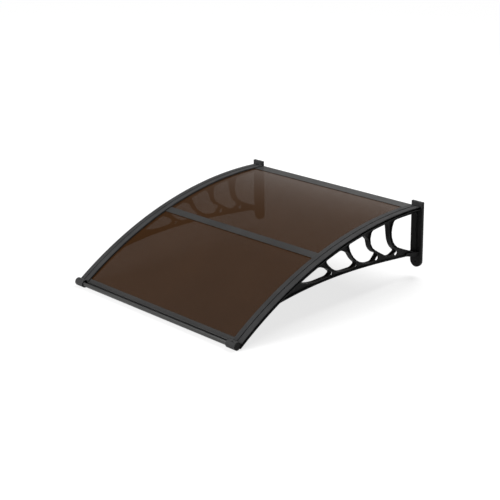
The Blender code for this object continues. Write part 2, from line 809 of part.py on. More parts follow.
def cover_strip(name, side, parent):
    """Cover strip screwed down on a bracket's rail, with a groove for the screws."""
    half, edge, groove = STRIP_HALF, STRIP_EDGE, GROOVE_WIDTH / 2
    section = [
        (-half, STRIP_UNDER),
        (-half, -edge),
        (-half + edge, 0.0),
        (-groove, 0.0),
        (-groove, -GROOVE_DEPTH),
        (groove, -GROOVE_DEPTH),
        (groove, 0.0),
        (half - edge, 0.0),
        (half, -edge),
        (half, STRIP_UNDER),
    ]
    section = [(side * (WEB_X + u), offset) for u, offset in section]
    start_angle = angle_at(PLATE_THICKNESS + CLEARANCE)
    end_angle = GUTTER_ANGLE - STRIP_END_GAP / ROOF_RADIUS
    strip = swept(name, section, roof_angles(start_angle, end_angle), black_plastic())
    radius, length = SCREW_RADIUS + CLEARANCE, STRIP_THICKNESS + CUT_OVERRUN
    holes = []
    for i, angle in enumerate(screw_angles()):
        start = side * WEB_X, -ROOF_RADIUS * math.sin(angle), ROOF_RADIUS * math.cos(angle)
        holes.append(rod(f"{name} hole {i}", start, down_at(angle), radius, length, SCREW_SIDES))
    combine(strip, "DIFFERENCE", holes)
    return place(strip, parent, ARC_CENTRE)


def screw(name, length, head_radius, parent, location, direction):
    """Round-headed screw with a blunt tip, its head's seat at the location."""
    profile = [
        (0, -length),
        (SCREW_RADIUS * SCREW_TIP_SHARE, -length),
        (SCREW_RADIUS, -length + SCREW_RADIUS),
        (SCREW_RADIUS, 0),
        (head_radius, 0),
        (head_radius, SCREW_HEAD_HEIGHT * SCREW_RIM_SHARE),
        (head_radius * SCREW_CROWN_SHARE, SCREW_HEAD_HEIGHT),
        (SCREW_RECESS_RADIUS, SCREW_HEAD_HEIGHT),
        (SCREW_RECESS_RADIUS, SCREW_HEAD_HEIGHT - SCREW_RECESS_DEPTH),
        (0, SCREW_HEAD_HEIGHT - SCREW_RECESS_DEPTH),
    ]
    made = turned(name, profile, SCREW_SIDES, dark_steel())
    made.rotation_mode = "QUATERNION"
    made.parent = parent
    made.location = location
    made.rotation_quaternion = Vector(direction).to_track_quat("Z", "Y")
    return made


def strip_screws(prefix, side, parent):
    """Row of screws that hold a cover strip."""
    for i, angle in enumerate(screw_angles()):
        reach, height = roof_point(angle, CLEARANCE - GROOVE_DEPTH)
        up = -Vector(down_at(angle))
        seat = side * WEB_X, -reach, height
        screw(f"{prefix}_strip_screw_{i + 1}", STRIP_SCREW_LENGTH, SCREW_HEAD_RADIUS, parent, seat, up)


def gasket(name, side, start, end, parent):
    """Rubber strip between a cover strip and the roof sheet."""
    inner = -STRIP_HALF - GASKET_SHOWING
    section = [
        (inner, GASKET_UNDER),
        (inner, GASKET_TOP),
        (inner + GASKET_WIDTH, GASKET_TOP),
        (inner + GASKET_WIDTH, GASKET_UNDER),
    ]
    section = [(side * (WEB_X + u), offset) for u, offset in section]
    return place(swept(name, section, roof_angles(start, end), black_rubber()), parent, ARC_CENTRE)


def roof_sheet(name, start, end, parent):
    """One smoked sheet of the roof."""
    half = SHEET_HALF
    section = [(-half, SHEET_UNDER), (-half, SHEET_TOP), (half, SHEET_TOP), (half, SHEET_UNDER)]
    return place(swept(name, section, roof_angles(start, end), smoked_sheet()), parent, ARC_CENTRE)


def cope(piece, outlines, start):
    """Cuts outlines of (reach, height) points away from both ends of a bar, from start outwards."""
    cuts = []
    for k, outline in enumerate(outlines):
        for side in (-1, 1):
            limits = sorted((side * start[k], side * (WEB_X + STRIP_WIDTH)))
            cuts.append(prism(f"{piece.name} cope {k} {side}", outline, *limits))
    combine(piece, "DIFFERENCE", cuts)


def middle_angle():
    """Angle of the middle bar."""
    return angle_at(MIDDLE_BAR_REACH)


def middle_bar(name, parent):
    """H-shaped bar between the two sheets, its lower flange coped at the brackets."""
    angle = middle_angle()
    half, web = MIDDLE_BAR_WIDTH / 2, BAR_WALL / 2
    spread = [-half, -web, web, half]
    angles = [angle + s / ROOF_RADIUS for s in spread]
    outline = [roof_point(a, GASKET_TOP) for a in angles]
    outline += [roof_point(angles[3], GASKET_UNDER), roof_point(angles[2], GASKET_UNDER)]
    outline += [roof_point(angles[2], SHELF_TOP), roof_point(angles[3], SHELF_TOP)]
    outline += [roof_point(a, BAR_UNDER) for a in reversed(angles)]
    outline += [roof_point(angles[0], SHELF_TOP), roof_point(angles[1], SHELF_TOP)]
    outline += [roof_point(angles[1], GASKET_UNDER), roof_point(angles[0], GASKET_UNDER)]
    bar = prism(name, outline, -SHEET_HALF, SHEET_HALF, grey_aluminium())
    cut_angles = [angle + s / ROOF_RADIUS for s in (-MIDDLE_BAR_WIDTH, -web, web, MIDDLE_BAR_WIDTH)]
    lower = [roof_point(a, SHEET_UNDER) for a in cut_angles]
    lower += [roof_point(a, BAR_UNDER - CUT_OVERRUN) for a in reversed(cut_angles)]
    cope(bar, [lower], [COPE_X])
    return place(bar, parent)


def rear_bar(name, parent):
    """Bar along the wall: a flange on the wall, a top plate and a slot for the rear sheet."""
    web_front = REAR_BAR_WEB_REACH
    web_back = web_front - BAR_WALL
    flange_end = web_front + REAR_BAR_FLANGE
    wall_low = height_at(0.0, GASKET_TOP) - REAR_BAR_WALL_FLANGE
    outline = roof_curve(0.0, REAR_BAR_LIP, GASKET_TOP)
    outline += roof_curve(REAR_BAR_LIP, web_front, GASKET_UNDER)
    outline += roof_curve(web_front, flange_end, SHELF_TOP)
    outline += roof_curve(flange_end, web_back, BAR_UNDER)
    outline += roof_curve(web_back, BAR_WALL, GASKET_UNDER)
    outline += [(BAR_WALL, wall_low), (0.0, wall_low)]
    bar = prism(name, outline, -SHEET_HALF, SHEET_HALF, grey_aluminium())
    far = flange_end + CUT_OVERRUN
    deep = wall_low - CUT_OVERRUN
    low = roof_curve(-CUT_OVERRUN, far, SHEET_UNDER) + [(far, deep), (-CUT_OVERRUN, deep)]
    top = height_at(0.0, CUT_OVERRUN)
    front = PLATE_THICKNESS + CLEARANCE
    back = [(-CUT_OVERRUN, top), (front, top), (front, deep), (-CUT_OVERRUN, deep)]
    plate_inner = BRACKET_SPACING / 2 - PLATE_WIDTH / 2 - CLEARANCE
    cope(bar, [low, back], [COPE_X, min(plate_inner, SHEET_HALF - CLEARANCE)])
    return place(bar, parent)


def front_bar(name, parent):
    """Front bar: a slot for the front sheet and an open gutter tube along the edge."""
    centre = (0.0, 0.0)
    start, lip, back_top = GUTTER_START_DEG, GUTTER_LIP_DEG, GUTTER_BACK_DEG
    tube = circle_arc(centre, GUTTER_RADIUS, GUTTER_MEET_DEG, back_top, ROUND_SIDES)
    tube += circle_arc(centre, GUTTER_RADIUS - GUTTER_WALL, back_top, lip, ROUND_SIDES)
    tube += circle_arc(centre, GUTTER_RADIUS, lip, start, ROUND_SIDES)[:-1]
    joint_outer = circle_point(centre, GUTTER_RADIUS, start)[0]

    def slope_point(ahead, offset):
        return roof_point(GUTTER_ANGLE + ahead / ROOF_RADIUS, offset)

    back, web = -FRONT_BAR_BACK, -FRONT_BAR_WEB
    slot_end = web - BAR_WALL
    outline = [slope_point(back, GASKET_TOP)]
    outline += [gutter_point(*point) for point in tube]
    rest = [
        (joint_outer, GASKET_UNDER),
        (web, GASKET_UNDER),
        (web, BAR_UNDER),
        (back, BAR_UNDER),
        (back, SHELF_TOP),
        (slot_end, SHELF_TOP),
        (slot_end, GASKET_UNDER),
        (back, GASKET_UNDER),
    ]
    outline += [slope_point(*point) for point in rest]
    end = WEB_X + GUTTER_END_GAP
    bar = prism(name, outline, -end, end, grey_aluminium())

    near, far = web + CLEARANCE, back - CUT_OVERRUN
    stub = joint_outer + CLEARANCE
    high, low = GUTTER_RISE + GUTTER_RADIUS, BAR_UNDER - CUT_OVERRUN
    bridge = [(near, high), (stub, high), (stub, low), (near, low)]
    past = near + CLEARANCE
    flange = [(far, SHEET_UNDER), (past, SHEET_UNDER), (past, low), (far, low)]
    tongue = [(far, high), (past, high), (past, low), (far, low)]
    outlines = [[slope_point(*point) for point in shape] for shape in (bridge, flange, tongue)]
    flange_end = CAP_START - GUTTER_FLANGE_END
    cope(bar, outlines, [flange_end, flange_end, SHEET_HALF])
    start_point, inward = cap_screw_line(GUTTER_RADIUS + CUT_OVERRUN)
    radius, length = SCREW_RADIUS + CLEARANCE, 2 * (GUTTER_RADIUS + CUT_OVERRUN)
    holes = []
    for side in (-1, 1):
        point = side * WEB_X, *start_point
        holes.append(rod(f"{name} screw hole {side}", point, inward, radius, length, SCREW_SIDES))
    combine(bar, "DIFFERENCE", holes)
    return place(bar, parent)


def cap_screw_line(radius):
    """Point (y, z) on a cap screw's line at a radius from the gutter's axis, and its inward direction."""
    direction = circle_point((0.0, 0.0), 1.0, CAP_SCREW_DEG)
    reach, height = gutter_point(direction[0] * radius, direction[1] * radius)
    axis_reach, axis_height = gutter_point(0.0, 0.0)
    inward = Vector((0.0, reach - axis_reach, axis_height - height)).normalized()
    return (-reach, height), tuple(inward)


def end_cap(name, side, parent):
    """Round cap over a gutter end, lying in the bracket's seat and pinned by a screw."""
    outer, bore, edge = CAP_RADIUS, CAP_BORE, CAP_EDGE
    floor_x = CAP_LENGTH - CAP_END
    profile = [
        (0, floor_x),
        (bore, floor_x),
        (bore, 0),
        (outer - CAP_MOUTH_EDGE, 0),
        (outer, CAP_MOUTH_EDGE),
        (outer, CAP_LENGTH - edge),
        (outer - CAP_EDGE_CUT, CAP_LENGTH - CAP_EDGE_CUT),
        (outer - edge, CAP_LENGTH),
        (0, CAP_LENGTH),
    ]
    cap = turned(name, profile, ROUND_SIDES, black_plastic())
    cap.rotation_mode = "QUATERNION"
    turn = Vector((side, 0, 0)).to_track_quat("Z", "Y")
    cap.rotation_quaternion = turn
    axis_reach, axis_height = gutter_point(0.0, 0.0)
    axis = Vector((side * CAP_START, -axis_reach, axis_height))
    start_point, inward = cap_screw_line(outer + CUT_OVERRUN)
    start = turn.inverted() @ (Vector((side * WEB_X, *start_point)) - axis)
    line = turn.inverted() @ Vector(inward)
    shank_length = 2 * outer + CUT_OVERRUN - CAP_SCREW_TIP
    head_length = CUT_OVERRUN + CAP_SCREW_SINK
    shank, head = SCREW_RADIUS + CLEARANCE, CAP_SCREW_HEAD_RADIUS + CLEARANCE
    cuts = [
        rod(f"{name} screw hole", start, line, shank, shank_length, SCREW_SIDES),
        rod(f"{name} screw seat", start, line, head, head_length, SCREW_SIDES),
    ]
    combine(cap, "DIFFERENCE", cuts)
    cap.parent = parent
    cap.location = axis
    return cap


def cap_screw(name, side, parent):
    """Screw through an end cap and the gutter tube inside it."""
    start_point, inward = cap_screw_line(CAP_RADIUS - CAP_SCREW_SINK + CLEARANCE)
    outward = -Vector(inward)
    length = 2 * CAP_RADIUS - CAP_SCREW_SINK - CAP_SCREW_TIP
    return screw(name, length, CAP_SCREW_HEAD_RADIUS, parent, (side * WEB_X, *start_point), outward)


def clear_scene():
    """Removes every object that is already there."""
    for old in list(bpy.data.objects):
        bpy.data.objects.remove(old, do_unlink=True)


def main():
    """Builds the awning."""
    clear_scene()
    awning = bpy.data.objects.new("awning", None)
    awning.location.z = REAR_BAR_WALL_FLANGE / 2 - height_at(0.0, GASKET_TOP)
    bpy.context.scene.collection.objects.link(awning)

    middle = middle_angle()
    web_half = BAR_WALL / 2 / ROOF_RADIUS
    end_gap = SHEET_END_GAP / ROOF_RADIUS
    sheet_start = angle_at(REAR_BAR_WEB_REACH, SHELF_TOP) + end_gap
    sheet_end = GUTTER_ANGLE - (FRONT_BAR_WEB + BAR_WALL) / ROOF_RADIUS - end_gap
    roof_sheet("rear_sheet", sheet_start, middle - web_half - end_gap, awning)
    roof_sheet("front_sheet", middle + web_half + end_gap, sheet_end, awning)
    rear_bar("rear_bar", awning)
    middle_bar("middle_bar", awning)
    front_bar("front_bar", awning)

    seal_gap = CLEARANCE / ROOF_RADIUS
    bar_half = MIDDLE_BAR_WIDTH / 2 / ROOF_RADIUS
    lip_angle = angle_at(REAR_BAR_LIP, GASKET_TOP) + seal_gap
    front_flange = GUTTER_ANGLE - FRONT_BAR_BACK / ROOF_RADIUS - seal_gap
    for prefix, side in (("left", -1), ("right", 1)):
        bracket(f"{prefix}_bracket", side, awning)
        cover_strip(f"{prefix}_cover_strip", side, awning)
        gasket(f"{prefix}_rear_gasket", side, lip_angle, middle - bar_half - seal_gap, awning)
        gasket(f"{prefix}_front_gasket", side, middle + bar_half + seal_gap, front_flange, awning)
        end_cap(f"{prefix}_end_cap", side, awning)
        cap_screw(f"{prefix}_cap_screw", side, awning)
        strip_screws(prefix, side, awning)


main()
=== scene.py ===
"""Window awning: smoked roof sheets in a dark frame on two moulded wall brackets.

X runs along the wall, +Z is up and the roof reaches out along -Y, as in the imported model. All
sizes are in metres. A place on the roof is an angle from the arc's crest and an offset from the
cover strips' top surface, positive away from the arc's centre.
"""

import json
import logging
import math
from dataclasses import dataclass, field
from enum import Enum
from typing import Callable, Iterable, Sequence

import bmesh
import bpy
from mathutils import Matrix, Vector


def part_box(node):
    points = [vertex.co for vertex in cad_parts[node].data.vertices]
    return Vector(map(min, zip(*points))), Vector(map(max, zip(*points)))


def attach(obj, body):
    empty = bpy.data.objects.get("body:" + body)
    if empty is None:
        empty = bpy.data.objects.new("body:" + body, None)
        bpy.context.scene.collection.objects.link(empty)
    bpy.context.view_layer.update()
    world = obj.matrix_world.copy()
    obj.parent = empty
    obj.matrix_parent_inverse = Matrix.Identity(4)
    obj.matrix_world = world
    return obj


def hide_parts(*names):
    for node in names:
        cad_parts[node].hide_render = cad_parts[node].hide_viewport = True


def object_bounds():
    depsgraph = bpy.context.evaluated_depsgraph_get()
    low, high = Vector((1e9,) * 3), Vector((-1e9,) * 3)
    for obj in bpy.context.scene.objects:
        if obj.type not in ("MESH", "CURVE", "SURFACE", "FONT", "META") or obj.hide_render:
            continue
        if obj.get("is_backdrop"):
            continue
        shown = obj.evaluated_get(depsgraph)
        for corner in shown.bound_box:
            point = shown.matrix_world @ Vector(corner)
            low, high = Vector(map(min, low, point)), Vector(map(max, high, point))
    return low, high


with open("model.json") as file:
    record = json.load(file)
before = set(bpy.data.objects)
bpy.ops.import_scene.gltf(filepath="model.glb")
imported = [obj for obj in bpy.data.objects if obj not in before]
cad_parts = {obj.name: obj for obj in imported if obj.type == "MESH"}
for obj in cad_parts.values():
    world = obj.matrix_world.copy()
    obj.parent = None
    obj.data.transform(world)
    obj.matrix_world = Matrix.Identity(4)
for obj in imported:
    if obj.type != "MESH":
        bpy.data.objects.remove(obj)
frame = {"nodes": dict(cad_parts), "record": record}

LOG = logging.getLogger("awning")
ROOT = "root"
# Points closer than this are one point.
MERGE = 0.000005
# A face looks along a direction if its normal reaches this far along it.
FACING = 0.9
# Gap between a screw's head and its seat.
CLEARANCE = 0.0003
PLASTIC_IOR = 1.5
Triple = tuple[float, float, float]


class Side(Enum):
    """The two ends of the awning, seen from the front."""

    LEFT = -1
    RIGHT = 1

    @property
    def prefix(self) -> str:
        """First word of the names of this side's pieces."""
        return self.name.lower()


class Slot(Enum):
    """The record's material slots."""

    PLASTIC = "black_plastic"
    ALUMINIUM = "grey_aluminium"
    SHEET = "smoked_sheet"
    RUBBER = "black_rubber"
    STEEL = "dark_steel"


@dataclass(frozen=True)
class RoofShape:
    """The arc that the roof follows, seen along the wall.

    Args:
        radius: radius of the cover strips' top surface.
        crest_y: place of the crest.
        gutter_y: place of the gutter tube's axis.
        gutter_rise: height of the gutter's axis over the top surface.
        cap_radius: outer radius of the end caps, which stand on the floor.
    """

    radius: float = 1.615
    crest_y: float = -0.0897
    gutter_y: float = -1.0092
    gutter_rise: float = 0.0031
    cap_radius: float = 0.0158

    @property
    def gutter_angle(self) -> float:
        """Angle of the gutter's axis from the crest."""
        return math.asin((self.crest_y - self.gutter_y) / (self.radius + self.gutter_rise))

    @property
    def gutter_axis(self) -> Vector:
        """Point of the gutter's axis midway between the brackets."""
        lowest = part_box("right_end_cap")[0][2]
        return Vector((0.0, self.gutter_y, lowest + self.cap_radius))

    @property
    def centre(self) -> Vector:
        """Centre of the arc midway between the brackets."""
        drop = (self.radius + self.gutter_rise) * math.cos(self.gutter_angle)
        return Vector((0.0, self.crest_y, self.gutter_axis.z - drop))

    def angle_at(self, y: float, offset: float = 0.0) -> float:
        """Angle of the roof at a distance from the wall.

        Args:
            y: the place along Y.
            offset: offset from the top surface.

        Returns:
            The angle from the crest.
        """
        return math.asin((self.crest_y - y) / (self.radius + offset))

    def point(self, x: float, angle: float, offset: float) -> Vector:
        """Point of the roof.

        Args:
            x: the place along the wall.
            angle: the angle from the crest.
            offset: offset from the top surface.

        Returns:
            The point.
        """
        reach = self.radius + offset
        turned = Vector((x, -reach * math.sin(angle), reach * math.cos(angle)))
        return self.centre + turned

    def up(self, angle: float) -> Vector:
        """Direction out of the roof at an angle."""
        return Vector((0.0, -math.sin(angle), math.cos(angle)))

    def run(self, node: str, top: float, under: float) -> tuple[float, float]:
        """Angles at which a piece that follows the roof begins and ends.

        Args:
            node: the model's node that the piece stands for.
            top: offset of its upper side.
            under: offset of its lower side.

        Returns:
            The first and the last angle.
        """
        low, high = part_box(node)
        widest = under if high[1] < self.crest_y else top
        return self.angle_at(high[1], widest), self.angle_at(low[1], top)


class Bench:
    """The workbench: Blender's own tools, each on one piece at a time."""

    @staticmethod
    def clear() -> None:
        """Leaves nothing selected and nothing in edit mode."""
        if bpy.context.object and bpy.context.object.mode != "OBJECT":
            bpy.ops.object.mode_set(mode="OBJECT")
        bpy.ops.object.select_all(action="DESELECT")

    @staticmethod
    def pick(piece: bpy.types.Object) -> None:
        """Makes a piece the only one selected and the active one.

        Args:
            piece: the piece.
        """
        Bench.clear()
        piece.select_set(True)
        bpy.context.view_layer.objects.active = piece

    @staticmethod
    def open(piece: bpy.types.Object) -> None:
        """Opens a piece for editing, all of it selected.

        Args:
            piece: the piece.
        """
        Bench.pick(piece)
        bpy.ops.object.mode_set(mode="EDIT")
        bpy.ops.mesh.select_mode(type="FACE")
        bpy.ops.mesh.select_all(action="SELECT")

    @staticmethod
    def close() -> None:
        """Ends the editing of the piece that is open."""
        bpy.ops.object.mode_set(mode="OBJECT")

    @staticmethod
    def select(piece: bpy.types.Object, kind: str, test: Callable[[Vector, Vector], bool]) -> None:
        """Selects faces or edges of the open piece by their place and normal.

        Args:
            piece: the piece that is open.
            kind: FACE or EDGE.
            test: says of a middle and a normal whether that face or edge is meant.
        """
        bpy.ops.mesh.select_mode(type=kind)
        bpy.ops.mesh.select_all(action="DESELECT")
        mesh = bmesh.from_edit_mesh(piece.data)
        if kind == "FACE":
            for face in mesh.faces:
                face.select_set(test(face.calc_center_median(), face.normal))
        else:
            for edge in mesh.edges:
                middle = (edge.verts[0].co + edge.verts[1].co) / 2
                along = (edge.verts[1].co - edge.verts[0].co).normalized()
                edge.select_set(test(middle, along))
        mesh.select_flush_mode()
        bmesh.update_edit_mesh(piece.data)

    @staticmethod
    def bevel(piece: bpy.types.Object, width: float, segments: int = 2, degrees: float = 30.0) -> None:
        """Rounds a finished piece's sharp edges.

        Args:
            piece: the piece.
            width: width of the rounding.
            segments: number of its faces across.
            degrees: the least angle of an edge that is rounded.
        """
        Bench.pick(piece)
        rounding = piece.modifiers.new("rounding", "BEVEL")
        rounding.width = width
        rounding.segments = segments
        rounding.limit_method = "ANGLE"
        rounding.angle_limit = math.radians(degrees)
        rounding.use_clamp_overlap = True
        bpy.ops.object.modifier_apply(modifier=rounding.name)

    @staticmethod
    def cut(piece: bpy.types.Object, tools: Iterable[bpy.types.Object]) -> None:
        """Cuts tools out of a piece and removes them.

        Args:
            piece: the piece that is cut.
            tools: the closed shapes that are taken away.
        """
        for tool in tools:
            Bench.pick(piece)
            step = piece.modifiers.new("cut", "BOOLEAN")
            step.operation = "DIFFERENCE"
            step.solver = "EXACT"
            step.object = tool
            bpy.ops.object.modifier_apply(modifier=step.name)
            bpy.data.objects.remove(tool)

    @staticmethod
    def smooth(piece: bpy.types.Object, degrees: float = 35.0) -> None:
        """Shades a piece smoothly except over its sharp edges, its wide faces flat.

        Args:
            piece: the piece.
            degrees: the least angle of a sharp edge.
        """
        Bench.pick(piece)
        bpy.ops.object.shade_smooth_by_angle(angle=math.radians(degrees))
        even = piece.modifiers.new("even", "WEIGHTED_NORMAL")
        even.mode = "FACE_AREA"
        even.keep_sharp = True
        bpy.ops.object.modifier_apply(modifier=even.name)

    @staticmethod
    def settle(piece: bpy.types.Object) -> None:
        """Puts a piece's place, turn and size into its mesh."""
        Bench.pick(piece)
        bpy.ops.object.transform_apply(location=True, rotation=True, scale=True)

    @staticmethod
    def plate(name: str, centre: Vector, width: float, height: float) -> bpy.types.Object:
        """Upright rectangle across the wall's direction, left open for shaping.

        Args:
            name: the piece's name.
            centre: its middle.
            width: its size along X.
            height: its size along Z.

        Returns:
            The piece, in edit mode.
        """
        Bench.clear()
        bpy.ops.mesh.primitive_plane_add(size=1.0, location=centre, rotation=(math.pi / 2, 0.0, 0.0))
        piece = bpy.context.object
        piece.name = name
        Bench.settle(piece)
        Bench.open(piece)
        bpy.ops.transform.resize(value=(width, 1.0, height), center_override=centre)
        return piece

    @staticmethod
    def rod(
        name: str, centre: Vector, along: Vector, radius: float, length: float, sides: int
    ) -> bpy.types.Object:
        """Round bar about a line.

        Args:
            name: the piece's name.
            centre: its middle.
            along: the line's direction.
            radius: its radius.
            length: its length.
            sides: its number of sides.

        Returns:
            The piece, its place in its mesh.
        """
        Bench.clear()
        turn = along.to_track_quat("Z", "Y").to_euler()
        bpy.ops.mesh.primitive_cylinder_add(
            vertices=sides, radius=radius, depth=length, location=centre, rotation=turn
        )
        piece = bpy.context.object
        piece.name = name
        Bench.settle(piece)
        return piece

    @staticmethod
    def sweep(piece: bpy.types.Object, shape: RoofShape, start: float, end: float, step: float) -> None:
        """Sweeps the open section at the crest along the roof and closes the piece.

        Args:
            piece: the section, standing at the arc's crest and open for editing.
            shape: the roof's arc.
            start: the angle at which the piece begins.
            end: the angle at which it ends.
            step: the longest stretch between two sections.
        """
        centre = shape.centre
        bpy.ops.mesh.select_all(action="SELECT")
        bpy.ops.transform.rotate(value=-start, orient_axis="X", center_override=centre)
        steps = math.ceil((end - start) * shape.radius / step)
        bpy.ops.mesh.spin(steps=steps, angle=start - end, center=centre, axis=(1.0, 0.0, 0.0))
        bpy.ops.mesh.select_all(action="SELECT")
        bpy.ops.mesh.remove_doubles(threshold=MERGE)
        bpy.ops.mesh.normals_make_consistent(inside=False)
        Bench.close()

    @staticmethod
    def merged_copy(node: str, name: str, flat_degrees: float = 0.3) -> bpy.types.Object:
        """Copy of a node of the model, its loose triangles merged into whole faces.

        Args:
            node: the model's node.
            name: the copy's name.
            flat_degrees: the greatest angle between faces that become one.

        Returns:
            The copy.
        """
        mesh = frame["nodes"][node].data.copy()
        mesh.name = name
        piece = bpy.data.objects.new(name, mesh)
        bpy.context.scene.collection.objects.link(piece)
        Bench.open(piece)
        bpy.ops.mesh.remove_doubles(threshold=MERGE)
        bpy.ops.mesh.dissolve_limited(angle_limit=math.radians(flat_degrees))
        bpy.ops.mesh.dissolve_degenerate(threshold=MERGE)
        Bench.close()
        return piece


def add_node(
    tree: bpy.types.NodeTree, kind: str, inputs: dict[str | int, object], **settings: str
) -> bpy.types.Node:
    """Adds a node to a material or to the sky.

    Args:
        tree: the node tree.
        kind: the node's kind.
        inputs: what its sockets take, by name or number: a value or another node's output.
        **settings: the node's own settings.

    Returns:
        The node.
    """
    node = tree.nodes.new(f"ShaderNode{kind}")
    for name, setting in settings.items():
        setattr(node, name, setting)
    for key, value in inputs.items():
        if isinstance(value, bpy.types.NodeSocket):
            tree.links.new(value, node.inputs[key])
        else:
            node.inputs[key].default_value = value
    return node


def moved(
    tree: bpy.types.NodeTree,
    value: bpy.types.NodeSocket,
    source: tuple[float, float],
    target: tuple[float, float],
) -> bpy.types.NodeSocket:
    """A value moved from one range into another and kept inside it.

    Args:
        tree: the node tree.
        value: the value.
        source: the range that it comes from.
        target: the range that it goes to.

    Returns:
        The socket with the new value.
    """
    inputs = {"Value": value, "From Min": source[0], "From Max": source[1]}
    inputs |= {"To Min": target[0], "To Max": target[1]}
    return add_node(tree, "MapRange", inputs).outputs["Result"]


class Recipe:
    """A Principled material in the making.

    A noise's value stays near its middle. RANGE_SPAN and COLOUR_SPAN are the parts of it that are
    spread over the range of the roughness and over a pair of colours.
    """

    RANGE_SPAN = (0.3, 0.7)
    COLOUR_SPAN = (0.35, 0.65)

    def __init__(self, name: str) -> None:
        """Starts a material.

        Args:
            name: the material's name.
        """
        self.material = bpy.data.materials.new(name)
        self.material.use_nodes = True
        self.tree = self.material.node_tree
        self.shader = self.tree.nodes["Principled BSDF"]
        self.places = add_node(self.tree, "TexCoord", {}).outputs["Object"]

    def set(self, **values: float | tuple[float, ...]) -> None:
        """Sets sockets of the shader that are the same all over.

        Args:
            **values: socket names, with _ for a space, and their values.
        """
        for key, value in values.items():
            self.shader.inputs[key.replace("_", " ")].default_value = value

    def stretched(self, scale: Triple) -> bpy.types.NodeSocket:
        """Object coordinates stretched along the axes.

        Args:
            scale: the factor along each axis.

        Returns:
            The socket with the coordinates.
        """
        return add_node(self.tree, "Mapping", {"Vector": self.places, "Scale": scale}).outputs["Vector"]

    def noise(
        self, scale: float, detail: float, places: bpy.types.NodeSocket | None = None
    ) -> bpy.types.NodeSocket:
        """A texture of soft spots.

        Args:
            scale: its spots for each metre.
            detail: its layers of finer spots.
            places: coordinates other than the plain ones.

        Returns:
            The socket with its value, from 0 to 1.
        """
        inputs = {"Vector": places or self.places, "Scale": scale, "Detail": detail}
        return add_node(self.tree, "TexNoise", inputs).outputs["Fac"]

    def roughness(self, value: bpy.types.NodeSocket, smooth: float, dull: float) -> None:
        """Lets a noise give the roughness.

        Args:
            value: the noise's value.
            smooth: the least roughness.
            dull: the greatest roughness.
        """
        level = moved(self.tree, value, self.RANGE_SPAN, (smooth, dull))
        self.tree.links.new(level, self.shader.inputs["Roughness"])

    def colour(self, value: bpy.types.NodeSocket, first: Triple, second: Triple) -> None:
        """Lets a value choose between two colours.

        Args:
            value: the value, from 0 to 1.
            first: the colour at 0.
            second: the colour at 1.
        """
        ramp = add_node(self.tree, "ValToRGB", {"Fac": value})
        for element, position, shade in zip(ramp.color_ramp.elements, self.COLOUR_SPAN, (first, second)):
            element.position = position
            element.color = (*shade, 1.0)
        self.tree.links.new(ramp.outputs["Color"], self.shader.inputs["Base Color"])

    def bumps(self, layers: Sequence[tuple[bpy.types.NodeSocket, float]]) -> None:
        """Raises the surface by several values, one over the other.

        Args:
            layers: each value, and the height in metres at 1.
        """
        below = None
        for value, height in layers:
            inputs = {"Height": value, "Strength": 1.0, "Distance": height}
            if below:
                inputs["Normal"] = below
            below = add_node(self.tree, "Bump", inputs).outputs["Normal"]
        self.tree.links.new(below, self.shader.inputs["Normal"])


@dataclass(frozen=True)
class Finish:
    """What every finish has.

    Args:
        name: the material's name.
        shade: its darker colour.
        light_shade: its lighter colour.
        cloud_scale: spots of the two colours for each metre.
        cloud_detail: layers of finer spots.
        smooth: its least roughness.
        dull: its greatest roughness.
        wear_scale: spots of the roughness for each metre.
        wear_detail: layers of finer spots.
        grain_scale: grains for each metre.
        grain_height: their height.
    """

    name: str
    shade: Triple
    light_shade: Triple
    cloud_scale: float
    cloud_detail: float
    smooth: float
    dull: float
    wear_scale: float
    wear_detail: float
    grain_scale: float
    grain_height: float

    def start(self, **sockets: float | tuple[float, ...]) -> Recipe:
        """Starts the material with its two colours.

        Args:
            **sockets: sockets that are the same all over, and their values.

        Returns:
            The material in the making.
        """
        recipe = Recipe(self.name)
        recipe.set(IOR=PLASTIC_IOR, **sockets)
        clouds = recipe.noise(self.cloud_scale, self.cloud_detail)
        recipe.colour(clouds, self.shade, self.light_shade)
        return recipe

    def wear(self, recipe: Recipe) -> None:
        """Gives a material its roughness, in spots."""
        spots = recipe.noise(self.wear_scale, self.wear_detail)
        recipe.roughness(spots, self.smooth, self.dull)


@dataclass(frozen=True)
class MouldedPlastic(Finish):
    """Satin black plastic with a fine moulded grain.

    Args:
        specular: how much it mirrors.
        flow_scale: the mould's slow waves for each metre.
        flow_height: their height.
    """

    name: str = "moulded black plastic"
    shade: Triple = (0.040, 0.040, 0.0405)
    light_shade: Triple = (0.049, 0.049, 0.0495)
    cloud_scale: float = 14.0
    cloud_detail: float = 3.0
    smooth: float = 0.40
    dull: float = 0.52
    wear_scale: float = 45.0
    wear_detail: float = 4.0
    grain_scale: float = 2600.0
    grain_height: float = 0.000012
    specular: float = 0.06
    flow_scale: float = 60.0
    flow_height: float = 0.000048

    def make(self) -> bpy.types.Material:
        """Makes the material.

        Returns:
            The material.
        """
        recipe = self.start(Specular_IOR_Level=self.specular)
        self.wear(recipe)
        grain = recipe.noise(self.grain_scale, detail=2.0)
        flow = recipe.noise(self.flow_scale, detail=1.0)
        recipe.bumps([(flow, self.flow_height), (grain, self.grain_height)])
        return recipe.material


